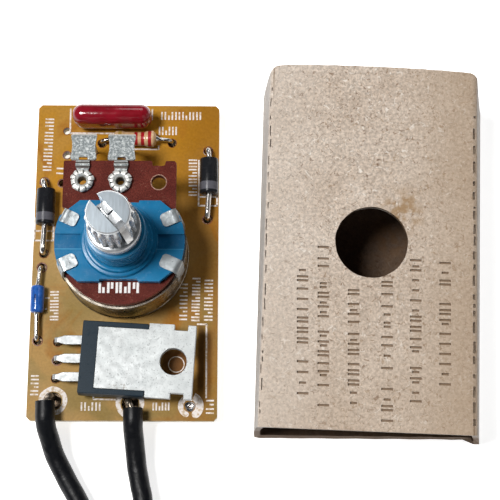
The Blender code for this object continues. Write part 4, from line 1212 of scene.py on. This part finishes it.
def eyelet(x, y):
    """A hollow rivet with its rolled crown split into teeth."""
    teeth, steps = 10, 120
    # radius, height, how far a split cuts in, how far it sinks
    profile = ((0.56, 7.05, 0, 0), (0.56, 8.95, 0, 0), (0.64, 9.15, 0, 0), (0.78, 9.33, 0, 0),
               (0.93, 9.44, 0, 0.03), (1.08, 9.46, 0, 0.2), (1.25, 9.44, 0.12, 0.34),
               (1.42, 9.38, 0.26, 0.3), (1.56, 9.24, 0.4, 0.15), (1.5, 9.045, 0.3, 0), (0.88, 9.04, 0, 0),
               (0.88, 7.36, 0, 0), (1.2, 7.34, 0, 0), (1.25, 7.2, 0, 0), (1.2, 7.05, 0, 0))
    rings = []
    for level, (r, z, cut, sink) in enumerate(profile):
        ring = []
        for i in range(steps):
            t = tau * i / steps
            phase = (t * teeth / tau + 0.25 * sin(2 * t + x) + 0.1 * x) % 1.0
            gap = max(0.0, 1.0 - abs(phase - 0.5) / 0.10)
            uneven = 0.05 * sin(3 * t + x) + 0.04 * sin(7 * t) if 5 <= level <= 9 else 0.0
            radius = r * (1.0 + uneven) - cut * gap
            if level in (8, 9):
                radius = max(radius, 0.95)
            ring.append((x + radius * cos(t), y + radius * sin(t), z - sink * gap))
        rings.append(ring)
    return tube(rings)


def make_lugs(looks):
    look = lug_look()
    for label, (x, y), centre, wide in zip(("end", "wiper"), EYELETS, (-5.34, -0.12), (1.74, 1.86)):
        piece(f"lug_{label}", moved(lug(x, y, centre, wide), POT_PLACE), look,
              stands_for=[f"pot_terminal_{label}"], bevel=0.08, bevel_angle=50)
        piece(f"eyelet_{label}", moved(eyelet(x, y), POT_PLACE), looks["eyelet"],
              stands_for=[f"pot_eyelet_{label}"], crease=50)


def housing_look():
    look = Look("blue_moulding", (0.03, 0.24, 0.42), 0.3, specular=0.3)
    look.cloud(3.0, 3, (0.006, 0.155, 0.335), (0.012, 0.200, 0.41))
    y, z = look.minus(look.along("Y"), POT[1]), look.along("Z")
    # painted shade on the floors of the two grooves, and a painted highlight along their lower edge
    low = look.step(z, TOP + 9.8, TOP + 9.6)
    look.layer(look.times(look.band(y, -1.1, 0.88, 0.04), low), (0.002, 0.075, 0.20), 0.35)
    glint = look.times(look.band(y, -1.24, -1.12, 0.05), look.band(z, TOP + 9.6, TOP + 10.0, 0.02))
    look.layer(glint, (0.10, 0.42, 0.66), 0.5)
    look.layer(look.tones(0.18, 3, (0.66, 0.0), (0.74, 0.3)), (0.25, 0.48, 0.62))
    look.wear(1.0, 0.18, 0.3)
    look.lumps(0.18, 0.04, 0.35, 4)
    look.lumps(0.12, 0.12, 1.6, 2)
    return look


def make_housing():
    flat_half, side, swing, notch, deep = 5.55, 5.4, 23.0, 2.6, 0.3
    outline = [(side, -flat_half)] + arc((0, 0), FLANGE_RADIUS, -swing, swing, 30)
    outline += [(side, flat_half), (notch, flat_half), (notch - 0.12, flat_half - deep),
                (0.12 - notch, flat_half - deep), (-notch, flat_half)]
    outline += [(-x, -y) for x, y in outline]
    base = flat(outline, *FLANGE_LEVELS)
    barrel, root, pitch = 3.95, 3.77, 0.95
    profile = [(0.0, 16.2), (3.66, 16.2), (3.8, 16.16), (3.9, 16.05), (barrel, 15.9)]
    level = 15.9
    while level > 11.95:
        profile += [(barrel, level - 0.38), (3.90, level - 0.47), (root, level - 0.52),
                    (root, level - 0.83), (3.90, level - 0.88), (barrel, level - pitch)]
        level -= pitch
    profile += [(barrel, 11.35), (4.0, 11.2), (4.12, 11.12), (4.4, 11.08), (4.5, 11.0), (4.54, 10.88),
                (4.55, 10.6), (4.6, 10.52), (4.72, 10.5), (4.9, 10.5), (5.0, 10.46), (5.05, 10.36),
                (5.07, 10.02), (5.12, 9.94), (5.2, 9.87), (5.2, 9.3), (0.0, 9.3)]
    grooves = joined(block((-9.5, -1.12, 9.55), (-5.15, 0.89, 10.4)),
                     block((5.15, -1.12, 9.55), (9.5, 0.89, 10.4)))
    bore = lathe([(0, 8.0), (3.12, 8.0), (3.12, 16.1), (3.22, 16.3), (0, 16.3)], 96)
    body = carved(base, ("DIFFERENCE", grooves), ("UNION", lathe(profile, 128)), ("DIFFERENCE", bore))
    piece("pot_front", moved(body, POT_PLACE), housing_look(), stands_for=["pot_housing"],
          bevel=0.055, bevel_angle=42, crease=30)


SLOT_TURN = -46.8


def shaft_look():
    look = Look("cast_zinc", (0.82, 0.83, 0.85), 0.3, 0.66)
    look.cloud(1.4, 4, (0.72, 0.75, 0.78), (0.90, 0.93, 0.95), warp=0.3)
    z = look.along("Z")
    # the flat top: a rougher finish, and a darker colour that is painted shade
    face = look.times(look.step(look.facing(), 0.93, 0.99), look.step(z, TOP + 24.3, TOP + 24.6))
    look.layer(face, (0.50, 0.56, 0.61))
    x = look.minus(look.along("X"), POT[0])
    y = look.minus(look.along("Y"), POT[1])
    out = look.math("SQRT", look.plus(look.times(x, x), look.times(y, y)))
    # darker down between the teeth: painted shade, with some dirt
    groove = look.times(look.band(out, 2.3, 2.86, 0.06), look.band(z, TOP + 18.15, TOP + 24.2, 0.1))
    look.layer(groove, (0.16, 0.17, 0.19), 0.5)
    brush = look.noise(0.22, 2, stretch=(1, 0.12, 1), turn=43)
    look.tint(look.ramp(brush, (0.3, 0.84), (0.7, 1.04)))
    rough = look.plus(look.times(face, 0.46), 0.2)
    look.feed("Roughness", look.plus(rough, look.times(look.noise(0.8, 4), 0.1)))
    look.lumps(0.25, 0.07, 0.5, 4)
    look.bump(brush, 0.1, 0.03)
    return look


def knurl():
    """The toothed end of the shaft, chamfered to a plain disc at the top."""
    teeth = 18
    tooth = ((0.0, 0.0), (0.12, 0.35), (0.22, 0.92), (0.34, 1.0), (0.46, 1.0), (0.58, 0.92),
             (0.70, 0.45), (0.85, 0.05))
    # height, radius between the teeth, radius on the teeth
    levels = [(17.5, 2.9, 3.05), (17.9, 2.66, 3.06)]
    levels += [(18.1 + 5.5 * k / 6, 2.66, 3.06) for k in range(7)]
    levels += [(24.15, 2.72, 2.9), (24.4, 2.78, 2.82), (24.66, 2.79, 2.79), (24.72, 2.77, 2.77),
               (24.88, 2.62, 2.62), (24.9, 2.58, 2.58)]
    rings = []
    for z, root, top in levels:
        ring = []
        for k in range(teeth):
            for share, lift in tooth:
                t = tau * (k + share) / teeth
                r = root + (top - root) * lift
                ring.append((r * cos(t), r * sin(t), z))
        rings.append(ring)
    return loft(rings)


def make_shaft():
    lower = [(0.0, 18.12), (2.6, 18.12), (3.0, 18.11), (3.3, 18.06), (3.42, 17.98), (3.47, 17.86),
             (3.47, 16.52), (3.43, 16.43), (3.34, 16.4), (3.0, 16.4), (3.0, 8.45), (2.3, 8.45),
             (2.3, 7.85), (3.0, 7.85), (3.0, 7.0), (2.2, 6.9), (2.2, 3.6), (0.0, 3.6)]
    slot = block((-4.2, -0.6, 18.7), (4.2, 0.6, 26.0))
    # what the casting leaves in the slot: a low web, two steps on it and a sloping tail
    web = block((-1.9, -0.72, 18.3), (1.45, 0.72, 22.7))
    first = block((-1.62, -0.12, 22.2), (-0.12, 0.74, 23.95))
    second = block((0.02, -0.74, 22.1), (1.42, 0.76, 23.5))
    tail = flat([(1.3, 18.35), (3.15, 18.35), (3.05, 18.75), (2.75, 20.2), (2.35, 21.5), (1.95, 22.5),
                 (1.3, 23.0)], -0.66, 0.32)
    tail = moved(tail, tilt=QUARTER_X)
    steps = [("UNION", lathe(lower, 96))]
    for operation, part in (("DIFFERENCE", slot), ("UNION", web), ("UNION", tail), ("UNION", first),
                            ("UNION", second)):
        steps.append((operation, moved(part, turn=SLOT_TURN)))
    piece("dimmer_shaft", moved(carved(knurl(), *steps), POT_PLACE), shaft_look(), body="shaft",
          stands_for=["pot_shaft"], bevel=0.09, bevel_angle=38, crease=28)


# ---- fibreboard sleeve --------------------------------------------------------------------

SLEEVE_LENGTH, SLEEVE_HEIGHT, SLEEVE_WALL = 48.9, 15.2, 0.8
TOP_SPAN, FOOT_SPAN = (-13.9, 14.3), (-13.7, 17.3)
SHAFT_HOLE = (0.28, 0.33)
SHAFT_HOLE_RADIUS = 4.81
MARK_PITCH = 1.28
# rows of pressed marks in place of the lettering, as x, y, x, y from the board's centre
STAMPED_ROWS = ((24.36, -3.16, 24.22, -20.93), (27.12, -0.35, 26.87, -22.14), (31.04, -5.06, 30.74, -22.13),
                (35.43, -5.25, 34.99, -24.14), (39.29, -1.8, 38.72, -21.9), (43.14, -2.43, 42.57, -19.44))


def sleeve_ring(inset, end, radius):
    """One end of the tube's outer or inner skin; the cut ends are slightly uneven."""
    half = SLEEVE_LENGTH / 2
    north = end > 0
    low, high = inset, SLEEVE_HEIGHT - inset
    left = FOOT_SPAN[0] - (0.85 if north else 0.28)
    right = FOOT_SPAN[1] + (0.42 if north else 0.12)
    lean = (right - TOP_SPAN[1]) / SLEEVE_HEIGHT
    corners = [(left + inset, low), (right - inset - lean * inset, low),
               (TOP_SPAN[1] - inset + lean * inset, high), (TOP_SPAN[0] + inset, high)]
    outline = rounded(corners, radius, 6)
    ring = []
    for a, b in zip(outline, outline[1:] + outline[:1]):
        count = 1 if hypot(b[0] - a[0], b[1] - a[1]) < 1.5 else 20
        for k in range(count):
            x, z = (a[0] + (b[0] - a[0]) * k / count, a[1] + (b[1] - a[1]) * k / count)
            up = z / SLEEVE_HEIGHT
            if x < TOP_SPAN[0] + 1.0:
                x -= 0.25 * sin(pi * up)
            if north:
                y = half + 0.5 * max(0.0, 1.0 - (x / 14.6) ** 2) ** 0.7 * up
                y -= up * (0.55 * max(0.0, -12.6 - x) ** 2 + 0.3 * max(0.0, x - 13.2) ** 2)
                y += 0.03 * sin(2.1 * x)
            else:
                torn = 0.03 * sin(3.1 * x) + 0.02 * sin(7.3 * x + 1.0)
                skew = -0.30 + (x + 12.5) * 0.0321 if x < 16.2 else 0.0
                y = -half + (1.0 - up) ** 2 * (skew + (0.36 if inset else 0.0)) + torn * (1.0 - up)
            ring.append((x, y, z))
    return ring


def fibreboard_look():
    look = Look("fibreboard", (0.55, 0.44, 0.34), 0.88, specular=0.25)
    x, y, z = look.along("X"), look.along("Y"), look.along("Z")
    look.cloud(6.0, 4, (0.58, 0.475, 0.385), (0.69, 0.59, 0.50))
    look.tint(look.tones(0.36, 3, (0.32, 0.67), (0.68, 1.23), rough=0.6, warp=0.3))
    # thin fibres of four colors: size, level of the noise they follow, color, strength
    fibres = ((1.5, 0.50, (0.25, 0.16, 0.10), 1.0), (1.1, 0.53, (0.17, 0.10, 0.06), 0.95),
              (1.7, 0.47, (0.98, 0.93, 0.86), 0.75), (1.2, 0.56, (0.33, 0.22, 0.13), 0.8))
    for k, (size, low, color, strength) in enumerate(fibres):
        field = look.noise(size, 1.0, warp=1.0, shift=(7 * k, 3 * k, 5 * k))
        where = look.tones(0.8, 1.5, (0.50, 0.0), (0.56, strength), shift=(4 * k + 1, 2, 0))
        look.layer(look.times(look.band(field, low, low + 0.02, 0.014), where), color)
    stain = look.times(look.window((35.5, 40.0), (1.6, 6.4), 1.5, 1.6),
                       look.tones(1.2, 4, (0.38, 0.0), (0.56, 0.8)))
    look.layer(stain, (0.33, 0.19, 0.07))
    look.layer(look.step(y, 2.0, -26.0), (0.46, 0.34, 0.235), 0.34)
    look.layer(look.step(x, 34.0, 47.5), (0.42, 0.305, 0.205), 0.6)
    look.layer(look.step(x, 30.0, 20.0), (0.74, 0.67, 0.60), 0.3)
    grey = look.tones(0.8, 4, (0.3, (0.44, 0.42, 0.40)), (0.7, (0.58, 0.57, 0.56)))
    look.layer(look.step(look.facing(), 0.75, 0.25), grey, 0.75)
    # painted shade on the inside, where a face looks toward the tube's middle
    inward = look.times(look.minus(SLEEVE[0] + 1.0, x), look.facing("X"))
    upward = look.times(look.minus(SLEEVE_HEIGHT / 2, z), look.facing("Z"))
    dark = look.tones(1.2, 4, (0.3, (0.045, 0.021, 0.009)), (0.7, (0.080, 0.041, 0.019)))
    look.layer(look.step(look.plus(inward, upward), 0.5, 1.5), dark, 0.93)
    # painted shade just below the face: down inside the pressed marks, the slits and the top of the shaft
    # hole
    pressed = look.times(look.band(z, SLEEVE_HEIGHT - 0.6, SLEEVE_HEIGHT - 0.04, 0.02),
                         look.band(x, 20.6, 46.2, 0.1))
    look.layer(pressed, (0.20, 0.125, 0.07), 0.8)
    cut = look.step(look.math("ABSOLUTE", look.facing("Y")), 0.6, 0.9)
    look.layer(look.times(cut, look.step(z, 15.0, 13.0)), (0.26, 0.19, 0.14), 0.7)
    look.wear(0.8, 0.8, 0.95)
    look.lumps(0.45, 0.10, 0.3, 4, warp=0.6)
    look.lumps(0.2, 0.2, 2.2, 3)
    return look


def stamped_rows():
    """Rows of plain pressed marks on the sleeve's face."""
    local = Matrix.Rotation(radians(-SLEEVE_TURN), 2)
    chance = random.Random(5)
    marks = []
    for x1, y1, x2, y2 in STAMPED_ROWS:
        a = local @ Vector((x1 - SLEEVE[0], y1 - SLEEVE[1]))
        b = local @ Vector((x2 - SLEEVE[0], y2 - SLEEVE[1]))
        count = int((b - a).length / MARK_PITCH)
        for i in range(count):
            if chance.random() < 0.12:
                continue
            at = a + (b - a) * ((i + 0.5) / count)
            for offset in chance.choice(((-0.26, 0.26), (0.0,), (-0.26,), (0.26, -0.26))):
                tall = chance.choice((1.5, 1.5, 0.9))
                mark = block((-tall / 2, -0.15, -0.3), (tall / 2, 0.15, 1.0))
                marks.append(moved(mark, (at.x, at.y + offset, SLEEVE_HEIGHT)))
    return joined(*marks)


def fold_slits():
    """Broken cuts along the two folds of the face."""
    half = SLEEVE_LENGTH / 2
    chance = random.Random(3)
    slits = []
    # x, half width, how far from the north end the cuts begin
    for x, wide, start in ((TOP_SPAN[0] + 0.3, 0.07, 3.0), (TOP_SPAN[1] - 0.42, 0.15, 6.0)):
        y = half - start
        while y > -half + 2.0:
            long = chance.uniform(0.25, 1.7)
            slit = block((-wide, -long / 2, -0.55), (wide, long / 2, 1.0))
            place = (x + chance.uniform(-0.09, 0.09), y - long / 2, SLEEVE_HEIGHT)
            slits.append(moved(slit, place, chance.uniform(-3, 3)))
            y -= long + chance.uniform(0.25, 1.5)
    return joined(*slits)


def shaft_hole():
    """The round hole in the face, slightly ragged, that the potentiometer comes through."""
    outline = []
    for i in range(120):
        t = tau * i / 120
        across = SHAFT_HOLE_RADIUS + 0.02 * sin(5 * t) + 0.02 * sin(13 * t)
        up = SHAFT_HOLE_RADIUS + 0.02 * sin(9 * t + 1)
        outline.append((SHAFT_HOLE[0] + across * cos(t), SHAFT_HOLE[1] + up * sin(t)))
    return flat(outline, SLEEVE_HEIGHT - 2, SLEEVE_HEIGHT + 1)


def make_sleeve():
    outer = [sleeve_ring(0.0, end, 0.9) for end in (1, -1)]
    inner = [sleeve_ring(SLEEVE_WALL, end, 0.42) for end in (-1, 1)]
    sleeve = carved(tube(outer + inner), ("DIFFERENCE", shaft_hole()), ("DIFFERENCE", fold_slits()),
                    ("DIFFERENCE", stamped_rows()))
    piece("sleeve_folded", moved(sleeve, (*SLEEVE, 0.0), SLEEVE_TURN), fibreboard_look(), body="sleeve",
          stands_for=["insulating_sleeve"], crease=30)


# ---- everything together ------------------------------------------------------------------

make_camera()
make_studio()
looks = make_looks()
make_leads(looks)
make_board(looks)
make_print(looks)
make_hole_rims()
make_diode("left", (-11.36, 7.17, TOP + 1.36), looks)
make_diode("right", (11.71, 11.78, TOP + 1.36), looks)
make_diac(looks)
make_resistor(looks)
make_capacitor(looks)
make_triac(looks)
make_can()
make_plate()
make_lugs(looks)
make_housing()
make_shaft()
make_sleeve()
